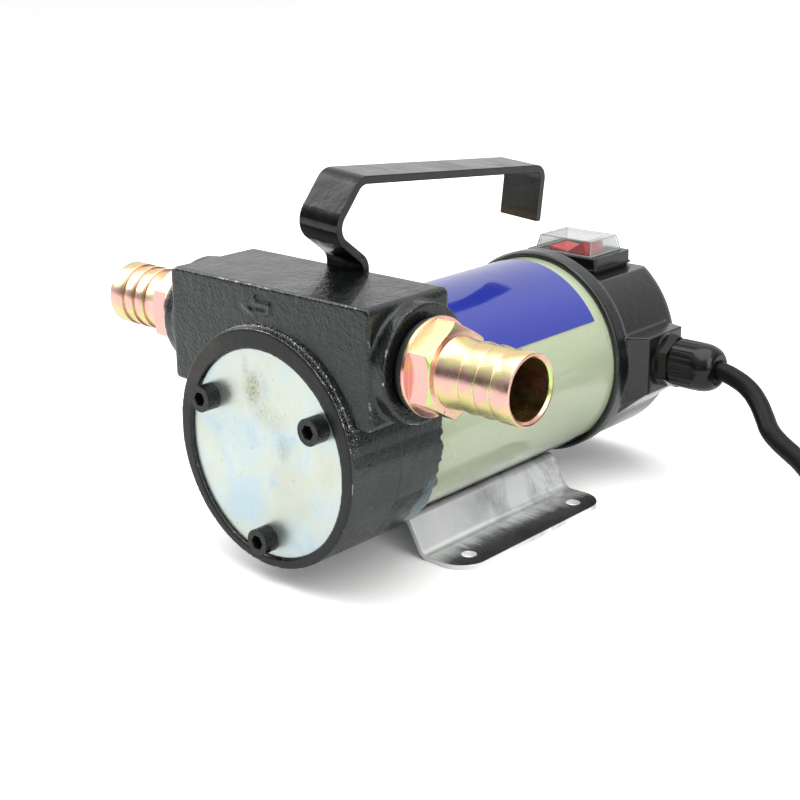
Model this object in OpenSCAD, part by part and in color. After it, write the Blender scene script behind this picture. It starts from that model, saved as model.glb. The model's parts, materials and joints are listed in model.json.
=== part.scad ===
// Electric diesel transfer pump: a sliding-vane pump on the end of a tubular motor,
// with two hose tails, a rocker switch under a clear boot, a carrying strip and a base.
// The origin is the middle of the four base holes on the floor. +X points to the inlet,
// +Y to the back of the motor, +Z up. Lengths are millimetres, angles are degrees.

/* [Layout] */
// Height of the motor shaft above the floor
axis_height = 52; // [50:0.5:60]

/* [Pump casting] */
// Outside diameter of the round pump body
ring_d = 90; // [88:0.5:96]
// Length of the round pump body
casting_len = 40.5; // [39:0.5:44]
// How far the cover lies back from the front face
cover_recess = 1.5; // [0.5:0.5:3]
// Width of the port block, side to side
block_w = 101.6; // [98:0.2:110]
// How far the block lies back from the front face
block_setback = 3.3; // [2:0.1:5]
// Depth of the block, front to back
block_depth = 40.9; // [39:0.1:43]
// Top of the block above the shaft
block_rise = 60; // [60:0.5:66]
// Underside of the block above the shaft
block_low = 16.5; // [14:0.5:20]
// Radius of the block's top corners
block_top_r = 2.5; // [1:0.5:4]
// Radius of the block's lower corners
block_low_r = 2; // [1.5:0.5:6]
// Length of the raised flow arrow
arrow_len = 15; // [10:1:20]
// Height of the raised relief on the casting
arrow_relief = 0.6; // [0.3:0.1:1]

/* [Pump works] */
// Bore of the pump chamber
chamber_d = 48; // [47:0.5:50]
// How far the chamber's middle lies below the shaft
eccentricity = 2; // [1.5:0.1:2.3]
// Least gap between the rotor and the chamber's wall
rotor_clearance = 0.5; // [0.3:0.1:1]
// Thickness of the casting behind the chamber
chamber_back = 7.4; // [7:0.1:9]
// Number of vanes
vane_count = 5; // [4:1:6]
// Thickness of a vane
vane_t = 3; // [2:0.1:4]
// Height of a vane
vane_h = 9; // [8:0.5:10]
// Diameter of the front cover
cover_d = 78.4; // [77:0.2:79]
// Thickness of the front cover
cover_t = 6; // [5:0.5:7]
// Distance of the cover screws from the cover's edge
cover_screw_edge = 6.5; // [6:0.1:7.2]
// Thread diameter of the cover and handle screws
screw_d = 6; // [5:0.5:6]
// Head diameter of the cover screws
screw_head_d = 10; // [9:0.5:11]
// Head height of the cover screws
screw_head_h = 6; // [5:0.5:7]
// Length of the cover screws under the head
screw_len = 18; // [14:1:20]

/* [Ports and hose tails] */
// Height of the ports above the shaft
port_rise = 37.6; // [37:0.1:39]
// Distance of the port axis behind the front face
port_setback = 25.1; // [24:0.1:26]
// Diameter of the round boss at each port
boss_d = 43; // [40:0.5:44]
// How far each boss stands out of the block
boss_len = 5.9; // [4:0.1:8]
// Thread diameter of a hose tail
thread_d = 25.8; // [24:0.1:26]
// Depth of the threaded port
thread_depth = 15; // [12:0.5:16]
// Bore of the passages in the block
passage_d = 18; // [16:0.5:18]
// Thickness of the wall between the two passages
passage_wall = 12; // [10:0.5:14]
// Diameter of the ways down into the chamber
down_way_d = 12; // [10:0.5:12]
// Outside diameter of a hose tail's barbs
barb_d = 25; // [24:0.1:26]
// Diameter of the grooves between the barbs
barb_root_d = 23.6; // [23:0.1:23.9]
// Bore of a hose tail
tail_bore_d = 21.2; // [20:0.1:21.4]
// Width across flats of a hose tail's hexagon
tail_hex_af = 30; // [29:0.5:32]
// Length of the hexagon
tail_hex_len = 8.9; // [7:0.1:11]
// Diameter of the collar behind the hexagon
collar_d = 35.4; // [34:0.1:37]
// Thickness of that collar
collar_t = 1.8; // [1:0.1:3]
// Length of the first barb behind the hexagon
first_barb_len = 9.8; // [8:0.1:12]
// Length of each following barb
barb_len = 6.5; // [5:0.1:8]
// Length of the plain band at the tip
tip_len = 7.8; // [6:0.1:9]
// Section diameter of the seal ring at each port
port_seal_d = 3.8; // [3:0.1:4.5]
// Travel of the bypass valve
bypass_travel = 3; // [2:0.5:4]

/* [Motor] */
// Outside diameter of the motor tube
tube_d = 84; // [83:0.5:86]
// Wall of the motor tube
tube_wall = 2; // [1.5:0.1:2.5]
// Thickness of the flange between pump and motor
flange_t = 8.6; // [8:0.1:10]
// Shaft diameter in the pump and the front bearing
shaft_d = 12; // [11:0.5:12]
// Shaft diameter in the armature
armature_shaft_d = 14; // [13:0.5:15]
// Shaft diameter in the rear bearing
rear_shaft_d = 10; // [9:0.5:10]
// Outside diameter of the front bearing
front_bearing_d = 32; // [30:1:34]
// Outside diameter of the rear bearing
rear_bearing_d = 30; // [28:1:31]
// Width of the bearings
bearing_w = 9; // [8:0.5:10]
// Air gap between the armature and the magnets
air_gap = 0.9; // [0.6:0.1:1.2]
// Number of armature slots
slot_count = 12; // [10:1:14]
// Thickness of the magnets
magnet_t = 6.8; // [6:0.1:7]
// Angle that each magnet spans
magnet_angle = 120; // [100:5:130]
// Diameter of the commutator
commutator_d = 26; // [24:0.5:28]
// Length of the commutator
commutator_len = 15; // [13:0.5:17]
// Number of commutator bars
bar_count = 24; // [20:1:28]

/* [End cap] */
// Length of the end cap
cap_len = 46.9; // [46:0.1:49]
// Diameter of the cap's front collar
collar_cap_d = 89; // [88:0.2:93]
// Length of that collar
cap_collar_len = 8; // [6:0.5:10]
// Diameter of the cap behind the collar
cap_d = 87.2; // [86.6:0.1:88]
// Diameter of the cap's rear face
cap_rear_d = 83.2; // [80:0.2:85]
// Length of the taper to the rear face
cap_taper_len = 4.5; // [3:0.5:6]
// Wall of the cap
cap_wall = 3; // [2.4:0.1:3.4]
// Height of the switch flat above the shaft
flat_rise = 34; // [33:0.5:36]
// Depth that the tube enters the cap
socket_depth = 7.3; // [6:0.1:8]

/* [Switch] */
// Distance of the switch frame from the cap's rear face
switch_rear_gap = 0.7; // [0.5:0.1:1]
// Width of the switch frame
frame_w = 38.4; // [36:0.1:39.4]
// Depth of the switch frame, front to back
frame_d = 28.2; // [27.4:0.1:29]
// Height of the switch frame
frame_h = 5.5; // [5:0.1:6]
// Half-length of the rocker
rocker_half = 9.6; // [9:0.1:10.4]
// Width of the rocker, front to back
rocker_w = 13.8; // [13:0.1:15]
// Tilt of the rocker either way from level
rocker_tilt = 13; // [11:0.5:13]
// Height of the clear boot
boot_h = 6.7; // [6.5:0.1:8]
// Wall of the clear boot
boot_wall = 0.9; // [0.6:0.1:1]

/* [Cable gland] */
// Distance of the gland axis behind the cap's front
gland_back = 24.2; // [23.5:0.1:25]
// Height of the gland axis above the shaft
gland_rise = 1.2; // [0:0.1:2]
// How far the gland's seat stands out beyond the cap
gland_standout = 8.4; // [7:0.1:10]
// Thread diameter of the gland
gland_thread_d = 16; // [15:0.5:16.5]
// Diameter of the gland's flange
gland_flange_d = 23; // [22:0.5:24]
// Width across flats of the gland's hexagon
gland_hex_af = 20; // [19:0.5:20.5]
// Diameter of the dome nut
dome_nut_d = 20.6; // [20:0.1:22]
// Length of the dome nut
dome_nut_len = 19; // [18:0.5:22]

/* [Base and handle] */
// Place of the base holes across each foot, as a share of the foot's width
base_hole_share = 0.6; // [0.45:0.05:0.65]
// Distance of the base holes from the base's front and rear edges
base_hole_margin = 12.25; // [10:0.25:16]
// Diameter of the base holes
base_hole_d = 6; // [5:0.5:7]
// Overall width of the base
base_w = 104; // [103:0.5:110]
// Bare tube between the pump's flange and the base
base_front_gap = 2.9; // [2:0.1:8]
// Bare tube between the base and the end cap
base_back_gap = 16.8; // [10:0.1:20]
// Thickness of the base sheet
base_t = 2; // [1.6:0.1:2.5]
// Corner radius of the base
base_corner_r = 11; // [8:0.5:13]
// Half-angle of the saddle that holds the tube
saddle_angle = 28.5; // [26:0.5:30]
// Width of the handle strip
handle_w = 19; // [18:0.5:25]
// Thickness of the handle strip
handle_t = 3; // [2.5:0.1:4]
// Top of the handle's front end above the block
handle_rise = 36.2; // [33:0.1:40]
// Top of the handle's rear end above the block
handle_rear_rise = 25.8; // [23:0.1:30]
// Length of the handle's top run
handle_reach = 109.5; // [105:0.5:115]
// Lean of the handle towards the inlet side
handle_lean = 4.5; // [0:0.5:6]

/* [Label] */
// Length of the label along the tube
label_len = 99.5; // [90:0.5:102]
// Angle that the label spans around the tube
label_angle = 118; // [100:2:130]
// Bare tube ahead of the label
label_front_gap = 5.9; // [3:0.1:12]
// Bare tube behind the label
label_back_gap = 6.3; // [3:0.1:12]
// Thickness of the label
label_t = 0.3; // [0.2:0.1:0.5]

/* [Power cord] */
// Diameter of the power cord
cord_d = 8; // [7.8:0.1:8.1]
// Radius of the coil's outermost turn
coil_outer_r = 56; // [56:0.1:56.2]
// Gap between neighbouring turns
coil_gap = 0.5; // [0.5:0.1:0.7]
// Width of the plug body
plug_w = 36; // [34:0.5:40]
// Length of the plug body
plug_len = 40; // [36:0.5:44]
// Diameter of the plug pins
pin_d = 4.8; // [4:0.1:5]
// Length of the plug pins
pin_len = 19; // [17:0.5:20]
// Spacing of the plug pins
pin_spacing = 19; // [18:0.5:20]

/* [Hidden] */
$fn = 48;
overrun = 1;
hidden_fn = 24;

// Named clearances
seat_gap = 0.1;
run_gap = 0.05;
move_gap = 0.3;

// Positions along the shaft
clear_len = label_front_gap + label_len + label_back_gap;
base_len = clear_len - base_front_gap - base_back_gap;
base_hole_y = base_len - 2 * base_hole_margin;
face_to_base = casting_len + flange_t + base_front_gap + base_len / 2;
front_y = -face_to_base;
cover_y = front_y + cover_recess;
chamber_y = cover_y + cover_t;
chamber_len = casting_len - cover_recess - cover_t - chamber_back;
rotor_len = chamber_len - 2 * move_gap;
rotor_d = chamber_d - 2 * (eccentricity + rotor_clearance);
chamber_z = axis_height - eccentricity;
rotor_y = chamber_y + move_gap;
flange_y = front_y + casting_len;
tube_y = flange_y + flange_t;
tube_len = clear_len + socket_depth;
tube_end_y = tube_y + tube_len;
tube_r = tube_d / 2;
tube_in_r = tube_r - tube_wall;
ring_r = ring_d / 2;
port_y = front_y + port_setback;
port_z = axis_height + port_rise;
block_back_y = front_y + block_setback + block_depth;
boss_x = block_w / 2 + boss_len;

// Cover and its fasteners
cover_fit = 0.2;
cover_hole_play = 0.35;
cover_screw_angles = [30, 150, 270];
cover_screw_r = cover_d / 2 - cover_screw_edge;
socket_af_share = 0.5;
socket_depth_share = 0.55;
cover_seal_edge = 3;
cover_seal_r = chamber_d / 2 + cover_seal_edge;
cover_seal_d = 2.3;
seal_groove_w = 3;
seal_groove_depth = 2.4;

// Rotor, key and shaft seal
key_w = 4;
key_inset = 3.5;
key_len = rotor_len - 2 * key_inset;
key_in_shaft = 2.3;
key_in_rotor = 2;
vane_slot_play = 0.1;
vane_tip_gap = 0.4;
shaft_inset = 1;
shaft_seal_d = 22;
shaft_seal_w = 5;
seal_lip_gap = 0.4;

// Ports, seals and the bypass valve
down_way_x = 15;
port_boss_root = 12;
tail_thread_gap = 0.2;
tail_lip = 0.8;
hex_corner_share = 1 / cos(30);
bypass_bore_d = 8;
poppet_head_d = 13;
poppet_head_t = 2.5;
poppet_nose_len = 5;
poppet_stem_d = 4;
retainer_x = 21;
retainer_t = 3;
retainer_way_d = 3.6;
retainer_way_r = 5.6;
retainer_ways = 4;
bypass_wire_d = 0.9;
bypass_coil_r = 4.2;
bypass_curls = 5;

// Motor pieces
bearing_wall = 3.5;
bearing_floor = 3.9;
spigot_len = 6;
spigot_wall = 3.9;
flange_screw_edge = 9;
flange_screw_r = tube_in_r - flange_screw_edge;
flange_screw_angles = [40, 140, 220, 320];
flange_screw_d = 5;
flange_screw_head_d = 8.5;
flange_screw_grip = 9;
tie_edge = 4.6;
tie_r = tube_in_r - tie_edge;
tie_d = 5;
tie_head_d = 8.4;
tie_head_t = 3.5;
tie_grip = 5;
armature_back = 26;
magnet_over = 3;
armature_d = 2 * (tube_in_r - seat_gap - magnet_t - air_gap);
commutator_room = 4.2;
slot_w = 4.5;
slot_root_r = 19;
winding_gap = 0.15;
winding_in_r = 12.5;
winding_out_r = 28;
winding_front_len = 11;
winding_rear_len = 11;
commutator_gap = 15;
commutator_ring_t = 4.4;
bar_slit_w = 0.6;
bar_slit_depth = 1.2;
rear_plate_t = 8;
rear_plate_inset = 2.8;
shaft_rear_out = 0.7;
rear_floor = 1;
rear_hub_len = bearing_w + rear_floor - rear_plate_t;
brush_w = 6;
brush_len = 8;
brush_h = 11;
brush_play = 0.15;
holder_wall = 1.4;
holder_reach = 18;
holder_start = 1.2;
holder_front = 3;
brush_plate_t = 2;
brush_wire_d = 0.7;
brush_coil_r = 2.1;
brush_curls = 3;
vent_d = 8;
vent_r = 26;
vent_angles = [62, 118];
pocket_corner_r = 2;
rectifier_w = 28;
rectifier_t = 7;
rectifier_drop = 22;
rectifier_screw_d = 4;
spring_steps = 8;
spring_sides = 6;
vane_start_angle = 36;
plate_back_y = tube_end_y - rear_plate_inset;
plate_y = plate_back_y - rear_plate_t;
rear_bearing_y = plate_y - rear_hub_len;
front_shoulder_y = flange_y + bearing_floor + bearing_w + move_gap;
armature_y = tube_y + armature_back;
commutator_y = rear_bearing_y - commutator_room - commutator_len;
armature_len = commutator_y - commutator_gap - armature_y;
magnet_y = armature_y - magnet_over;
magnet_len = armature_len + 2 * magnet_over;
rear_shoulder_y = commutator_y - move_gap;
brush_y = commutator_y + holder_front;
shaft_end_y = plate_back_y + shaft_rear_out;

// Cap, switch and gland details
gasket_t = 1;
gasket_in = 1.7;
cap_y = tube_end_y - socket_depth;
cap_rear_y = cap_y + cap_len;
cap_in_r = tube_r - gasket_in;
cap_edge = 0.8;
pillar_d = 8;
pillar_edge = 7;
pillar_r = tube_in_r - pillar_edge;
pillar_angles = [135, 225, 315];
cap_screw_d = 4;
cap_screw_head_d = 7.5;
cap_screw_head_h = 2.6;
cap_screw_grip = 6;
flat_land = 2;
switch_y = cap_rear_y - switch_rear_gap - frame_d / 2;
flat_z = axis_height + flat_rise;
switch_gasket_t = 1;
gasket_set_in = 1;
frame_z = flat_z + switch_gasket_t;
frame_top_z = frame_z + frame_h;
frame_lip = 0.5;
frame_lip_t = 0.8;
frame_corner_r = 2;
pivot_lift = 2;
pivot_z = frame_z + pivot_lift;
trunnion_d = 3;
trunnion_len = 1.6;
well_end_gap = 1.7;
well_w = 2 * (rocker_half + well_end_gap);
well_d = rocker_w + 2 * move_gap;
rocker_end_h = (frame_h + boot_h - boot_wall - move_gap - pivot_lift
  - rocker_half * sin(rocker_tilt)) / cos(rocker_tilt);
rocker_mid_h = 3.7;
rocker_foot_share = 0.7;
rocker_skirt_h = 1;
rocker_foot_drop = 2;
switch_body_w = 26.8;
switch_body_d = 21.6;
switch_body_h = 20;
switch_hole_play = 0.2;
well_depth = 4;
tab_w = 6.3;
tab_t = 0.8;
tab_len = 8;
tab_x = 8;
tab_y = 5.5;
boot_base_w = 29.8;
boot_base_d = 23.4;
boot_top_w = 27.4;
boot_top_d = 19.8;
well_step = 0.9;
gland_y = cap_y + gland_back;
gland_z = axis_height + gland_rise;
gland_seat = cap_d / 2 + gland_standout;
gland_boss_d = 25;
gland_wall = 12.5;
gland_nose_len = 4.5;
gland_flange_t = 1.7;
gland_hex_t = 4.8;
gland_neck_len = 3.5;
gland_bore_play = 0.7;
gland_bore_d = cord_d + 2 * gland_bore_play;
locknut_t = 4.5;
locknut_af = 21;
locknut_pocket_d = 27;
dome_start = 0.6;
dome_mouth_d = cord_d + 2 * move_gap;
dome_lip_d = 12;
dome_nut_wall = 1.9;
gland_neck_d = dome_nut_d - 2 * dome_nut_wall - 2 * seat_gap;
dome_len = 8.5;
dome_ribs = 24;
rib_groove_d = 1.2;
gland_seal_len = 9;
gland_tail_in = 6;
gland_seal_x = gland_seat + gland_flange_t + gland_hex_t + gland_neck_len;
boss_back = 41;
boss_up = 11.8;
boss_down = 13.2;
boss_root = 7.6;
boss_lip = 0.7;

// Strip bends, in the plane of each strip
strip_steps = 12;
saddle_steps = 16;
base_bend_r = 5;
saddle_fold_r = 2.2;
saddle_gap = 0.15;
flange_inner_x = 30.75;
base_hole_x = 2 * flange_inner_x + base_hole_share * (base_w - 2 * flange_inner_x);
fold_run = 2.5;
handle_foot_gap = 2.5;
handle_foot_z = ring_r + handle_foot_gap;
handle_fold_rise = 3.4;
handle_nose_y = 27.7;
handle_nose_rise = 16.9;
handle_crown_y = 41.3;
handle_end_lean = 1.2;
handle_end_rise = 2.1;
handle_fold_r = 7;
handle_nose_r = 7.5;
handle_crown_r = 6;
handle_rear_r = 5;
handle_screw_drop = 6.4;
handle_screw_z = block_rise - handle_screw_drop;
handle_screw_x = 5;
handle_screw_d = 5;
handle_screw_head_d = 8.5;
handle_screw_head_h = 3;
handle_screw_len = 12;

// Label and flow arrow
arrow_x = -4;
arrow_drop = 8;
arrow_h_share = 0.55;
arrow_shaft_share = 0.5;
arrow_head_share = 0.5;
arrow_line = 1;

// Power cord. The route's points are chosen by hand: how far they lie beyond the dome
// nut and towards the pump, and their height as a share of the gland's height. It runs
// down past the edge of the base and along the floor to the coil.
cord_r = cord_d / 2;
cord_lift = 1;
cord_rest_z = cord_r + cord_lift;
cord_exit = [gland_seat + gland_flange_t + gland_hex_t + dome_start + dome_nut_len,
  gland_y, gland_z];
route_out = [8, 15.5, 22, 27.5, 32.5, 38.5, 45, 51.5, 57.5, 62, 65.5, 69, 74, 80, 87, 94.5,
  102, 110];
route_along = [0.5, 2.5, 6, 10.5, 15, 18, 20.5, 23, 26, 30, 34.5, 39.5, 44, 48, 51, 52.5,
  53, 53];
route_rise_share = [0.965, 0.91, 0.835, 0.755, 0.69, 0.635, 0.59, 0.54, 0.47, 0.38, 0.27,
  0.175, 0.095, 0.04, 0.01, 0, 0, 0];
cord_route = [for (i = [0 : len(route_out) - 1]) [cord_exit[0] + route_out[i],
  gland_y - route_along[i],
  cord_rest_z + route_rise_share[i] * (gland_z - cord_rest_z)]];
coil_pitch = cord_d + coil_gap;
route_sides = 10;
coil_full_turns = 5;
coil_start_angle = -90;
coil_end_angle = 75;
coil_turns = coil_full_turns + (coil_end_angle - coil_start_angle) / 360;
coil_lead = cord_d;
coil_center = cord_route[len(route_out) - 1] + [coil_lead, coil_outer_r, 0];
coil_tail = 31;
loop_rings = 24;
loop_sides = 6;
tie_angle = 180;
tie_w = 10;
tie_band_t = 0.7;
plug_heading = coil_end_angle + 90;
plug_relief_len = 22;
plug_relief_d = 10;
plug_relief_root_d = 16;
plug_corner_r = 9;
plug_edge_r = 5;

// Cylinder along +Y, centred on the shaft axis or moved off it by x and z
module rod_y(y, len, r, x = 0, z = 0)
  translate([x, y, axis_height + z]) rotate([-90, 0, 0]) cylinder(h = len, r = r);

// Cylinder along +X at a given y and height
module rod_x(x, len, r, y, z)
  translate([x, y, z]) rotate([0, 90, 0]) cylinder(h = len, r = r);

// Solid turned about the shaft; points are radius and place along Y
module lathe_y(points)
  translate([0, 0, axis_height]) rotate([-90, 0, 0]) rotate_extrude() polygon(points);

// Solid turned about a line along X; points are radius and place along X
module lathe_x(points, y, z)
  translate([0, y, z]) rotate([0, 90, 0]) rotate_extrude() polygon(points);

// Outline in X and Z, carried along +Y
module slab_y(y, len)
  translate([0, y + len, axis_height]) rotate([90, 0, 0]) linear_extrude(len) children();

// Puts its children at a radius and angle about the shaft
module around_shaft(radius, angle)
  translate([radius * cos(angle), 0, radius * sin(angle)]) children();

// Rectangle centred on the origin with round corners
module round_rect(w, d, r) {
  square([w - 2 * r, d], center = true);
  square([w, d - 2 * r], center = true);
  for (sx = [-1, 1], sy = [-1, 1])
    translate([sx * (w / 2 - r), sy * (d / 2 - r)]) circle(r);
}

// Screw along +Y with its head towards -Y: y is the face under the head
module screw_y(y, d, len, head_d, head_h, socket = true)
  difference() {
    union() {
      rod_y(y - head_h, head_h, head_d / 2);
      rod_y(y - seat_gap, len + seat_gap, d / 2 - seat_gap);
    }
    if (socket)
      rod_y(y - head_h - overrun, head_h * socket_depth_share + overrun,
            head_d * socket_af_share / 2 * hex_corner_share, $fn = 6);
  }

function unit(v) = v / norm(v);
function left_of(v) = [-v[1], v[0]];
function turned(v, a) = [v[0] * cos(a) - v[1] * sin(a), v[0] * sin(a) + v[1] * cos(a)];

// One side of one bend of a bent strip: the bend at p1 has a middle radius r, and the
// side lies off to the left of the strip's middle line
function bend_side(p0, p1, p2, r, off, steps) =
  let (d0 = unit(p1 - p0), d1 = unit(p2 - p1))
  let (turn = atan2(d0[0] * d1[1] - d0[1] * d1[0], d0 * d1))
  let (s = sign(turn), center = p1 - d0 * r * tan(abs(turn) / 2) + left_of(d0) * s * r)
  [for (k = [0 : steps]) center - left_of(turned(d0, turn * k / steps)) * (s * r - off)];

function strip_side(p, radii, off, steps) =
  let (last = len(p) - 1, d0 = unit(p[1] - p[0]), d1 = unit(p[last] - p[last - 1]))
  concat(
    [p[0] + left_of(d0) * off],
    [for (i = [1 : last - 1])
      each bend_side(p[i - 1], p[i], p[i + 1], radii[i - 1], off, steps[i - 1])],
    [p[last] + left_of(d1) * off]);

// Closed outline of a strip of thickness t that is bent at the inner points of p
function strip_outline(p, radii, t, steps) =
  let (a = strip_side(p, radii, t / 2, steps), b = strip_side(p, radii, -t / 2, steps))
  concat(a, [for (i = [len(b) - 1 : -1 : 0]) b[i]]);

// Quarter of an ellipse from radius r1 at place y down to radius r0 at y + len
function quarter_bend(r0, r1, y, len) =
  [for (k = [0 : strip_steps])
    [r0 + (r1 - r0) * cos(90 * k / strip_steps), y + len * sin(90 * k / strip_steps)]];

// Tangent of a route at point i
function along(p, i) = unit(p[min(i + 1, len(p) - 1)] - p[max(i - 1, 0)]);

function tube_ring(p, t, r, sides, ref) =
  let (s = unit(cross(t, ref)), u = cross(s, t))
  [for (k = [0 : sides - 1]) p + r * (cos(360 * k / sides) * s + sin(360 * k / sides) * u)];

// Closed tube swept along a list of points, with triangles for faces
module swept_tube(p, r, sides, ref) {
  n = len(p);
  rings = [for (i = [0 : n - 1]) each tube_ring(p[i], along(p, i), r, sides, ref)];
  walls = [for (i = [0 : n - 2], k = [0 : sides - 1])
    let (a = i * sides + k, b = i * sides + (k + 1) % sides)
    each [[a, b, a + sides], [b, b + sides, a + sides]]];
  first = [for (k = [1 : sides - 2]) [0, k + 1, k]];
  base = (n - 1) * sides;
  last = [for (k = [1 : sides - 2]) [base, base + k, base + k + 1]];
  polyhedron(points = rings, faces = concat(walls, first, last));
}

// Smallest distance between parts of one tube that are over half a loop apart
function least_gap(p, r, skip) =
  min([for (i = [0 : len(p) - 1 - skip]) min([for (j = [i + skip : len(p) - 1])
    norm(p[i] - p[j])])]) - 2 * r;

// Outline of the block seen from the front, with the shaft at the origin
module block_outline() {
  tall = block_rise - block_low;
  mid = (block_rise + block_low) / 2;
  translate([0, mid + (block_low_r - block_top_r) / 2])
    square([block_w, tall - block_top_r - block_low_r], center = true);
  translate([0, mid]) square([block_w - 2 * block_low_r, tall], center = true);
  translate([0, block_rise - block_low_r / 2 - block_top_r / 2])
    square([block_w - 2 * block_top_r, block_low_r + block_top_r], center = true);
  for (s = [-1, 1]) {
    translate([s * (block_w / 2 - block_top_r), block_rise - block_top_r])
      circle(block_top_r);
    translate([s * (block_w / 2 - block_low_r), block_low + block_low_r])
      circle(block_low_r);
  }
}

// Hollow arrow that points to -X, the way the fuel flows
module arrow_outline() {
  h = arrow_len * arrow_h_share;
  head = arrow_len * arrow_head_share;
  shaft = h * arrow_shaft_share / 2;
  difference() {
    polygon([[-arrow_len / 2, 0], [head - arrow_len / 2, h / 2],
      [head - arrow_len / 2, shaft], [arrow_len / 2, shaft], [arrow_len / 2, -shaft],
      [head - arrow_len / 2, -shaft], [head - arrow_len / 2, -h / 2]]);
    polygon([[2 * arrow_line - arrow_len / 2, 0],
      [head - arrow_len / 2 - arrow_line, h / 2 - 2 * arrow_line],
      [head - arrow_len / 2 - arrow_line, shaft - arrow_line],
      [arrow_len / 2 - arrow_line, shaft - arrow_line],
      [arrow_len / 2 - arrow_line, arrow_line - shaft],
      [head - arrow_len / 2 - arrow_line, arrow_line - shaft],
      [head - arrow_len / 2 - arrow_line, 2 * arrow_line - h / 2]]);
  }
}

module pump_casting() color("#26282a") {
  wall_back = chamber_y + chamber_len;
  difference() {
    union() {
      rod_y(front_y, casting_len, ring_r);
      slab_y(front_y + block_setback, block_depth) block_outline();
      for (s = [-1, 1])
        rod_x(s > 0 ? block_w / 2 - port_boss_root : -boss_x, port_boss_root + boss_len,
              boss_d / 2, port_y, port_z);
      translate([arrow_x, 0, block_rise - arrow_drop])
        slab_y(front_y + block_setback - arrow_relief, arrow_relief + overrun)
          arrow_outline();
    }
    // Room for the motor flange under the block's overhang
    rod_y(flange_y, block_depth, ring_r + seat_gap);
    // Recess of the cover, chamber, shaft hole and seal pocket
    rod_y(front_y - overrun, cover_recess + cover_t + overrun, cover_d / 2 + cover_fit,
          z = -eccentricity);
    rod_y(chamber_y - overrun, chamber_len + overrun, chamber_d / 2, z = -eccentricity);
    rod_y(wall_back - overrun, casting_len, shaft_d / 2 + seal_lip_gap);
    rod_y(flange_y - shaft_seal_w, shaft_seal_w + overrun, shaft_seal_d / 2 + seat_gap);
    translate([0, 0, -eccentricity]) difference() {
      rod_y(chamber_y - overrun, seal_groove_depth + overrun,
            cover_seal_r + seal_groove_w / 2);
      rod_y(chamber_y - 2 * overrun, seal_groove_depth + 3 * overrun,
            cover_seal_r - seal_groove_w / 2);
    }
    for (a = cover_screw_angles)
      around_shaft(cover_screw_r, a)
        rod_y(chamber_y - overrun, screw_len - cover_t + 2 * overrun, screw_d / 2,
              z = -eccentricity);
    for (a = flange_screw_angles)
      around_shaft(flange_screw_r, a)
        rod_y(flange_y - flange_screw_grip - overrun, flange_screw_grip + 2 * overrun,
              flange_screw_d / 2);
    // Ports, passages, ways down to the chamber and the bypass bore
    for (s = [-1, 1]) {
      rod_x(s > 0 ? boss_x - thread_depth : -boss_x - overrun, thread_depth + overrun,
            thread_d / 2 + seat_gap, port_y, port_z);
      rod_x(s > 0 ? passage_wall / 2 : -boss_x, boss_x - passage_wall / 2, passage_d / 2,
            port_y, port_z);
      translate([s * down_way_x, port_y, chamber_z])
        cylinder(h = port_z - chamber_z, d = down_way_d);
    }
    rod_x(-passage_wall, 2 * passage_wall, bypass_bore_d / 2, port_y, port_z);
    for (s = [-1, 1])
      translate([s * handle_screw_x, 0, handle_screw_z])
        rod_y(block_back_y - handle_screw_len - overrun, handle_screw_len + 2 * overrun,
              handle_screw_d / 2);
  }
}

module cover_plate() color("#c9d3d6")
  difference() {
    rod_y(cover_y, cover_t, cover_d / 2, z = -eccentricity);
    for (a = cover_screw_angles)
      around_shaft(cover_screw_r, a)
        rod_y(cover_y - overrun, cover_t + 2 * overrun, screw_d / 2 + cover_hole_play,
              z = -eccentricity);
  }

module cover_seal() color("#151515")
  translate([0, chamber_y + cover_seal_d / 2, chamber_z]) rotate([-90, 0, 0])
    rotate_extrude() translate([cover_seal_r, 0]) circle(d = cover_seal_d, $fn = hidden_fn);

module cover_screws() color("#1b1b1c")
  for (a = cover_screw_angles)
    translate([0, 0, -eccentricity]) around_shaft(cover_screw_r, a)
      screw_y(cover_y, screw_d, screw_len, screw_head_d, screw_head_h);

module pump_rotor() color("#8d9094")
  difference() {
    rod_y(rotor_y, rotor_len, rotor_d / 2);
    rod_y(rotor_y - overrun, rotor_len + 2 * overrun, shaft_d / 2 + seat_gap);
    translate([-key_w / 2 - seat_gap, rotor_y - overrun, axis_height])
      cube([key_w + 2 * seat_gap, rotor_len + 2 * overrun,
            shaft_d / 2 + key_in_rotor + seat_gap]);
    for (k = [0 : vane_count - 1])
      translate([0, 0, axis_height]) rotate([0, vane_start_angle + 360 * k / vane_count, 0])
        translate([rotor_d / 2 - vane_h, rotor_y - overrun, -vane_t / 2 - vane_slot_play])
          cube([vane_h + overrun, rotor_len + 2 * overrun, vane_t + 2 * vane_slot_play]);
  }

// The vanes are drawn drawn in, at the radius that clears the chamber's near side
module vanes() color("#5b4a3a") {
  tip = chamber_d / 2 - eccentricity - vane_tip_gap;
  for (k = [0 : vane_count - 1])
    translate([0, 0, axis_height]) rotate([0, vane_start_angle + 360 * k / vane_count, 0])
      translate([tip - vane_h + vane_slot_play, rotor_y + vane_slot_play, -vane_t / 2])
        cube([vane_h - vane_slot_play, rotor_len - 2 * vane_slot_play, vane_t]);
}

module drive_key() color("#9a9c9e")
  translate([-key_w / 2, rotor_y + key_inset, axis_height + shaft_d / 2 - key_in_shaft])
    cube([key_w, key_len, key_in_shaft + key_in_rotor]);

module shaft_seal() color("#202020")
  difference() {
    rod_y(flange_y - shaft_seal_w, shaft_seal_w, shaft_seal_d / 2);
    rod_y(flange_y - shaft_seal_w - overrun, shaft_seal_w + 2 * overrun,
          shaft_d / 2 + run_gap);
  }

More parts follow.
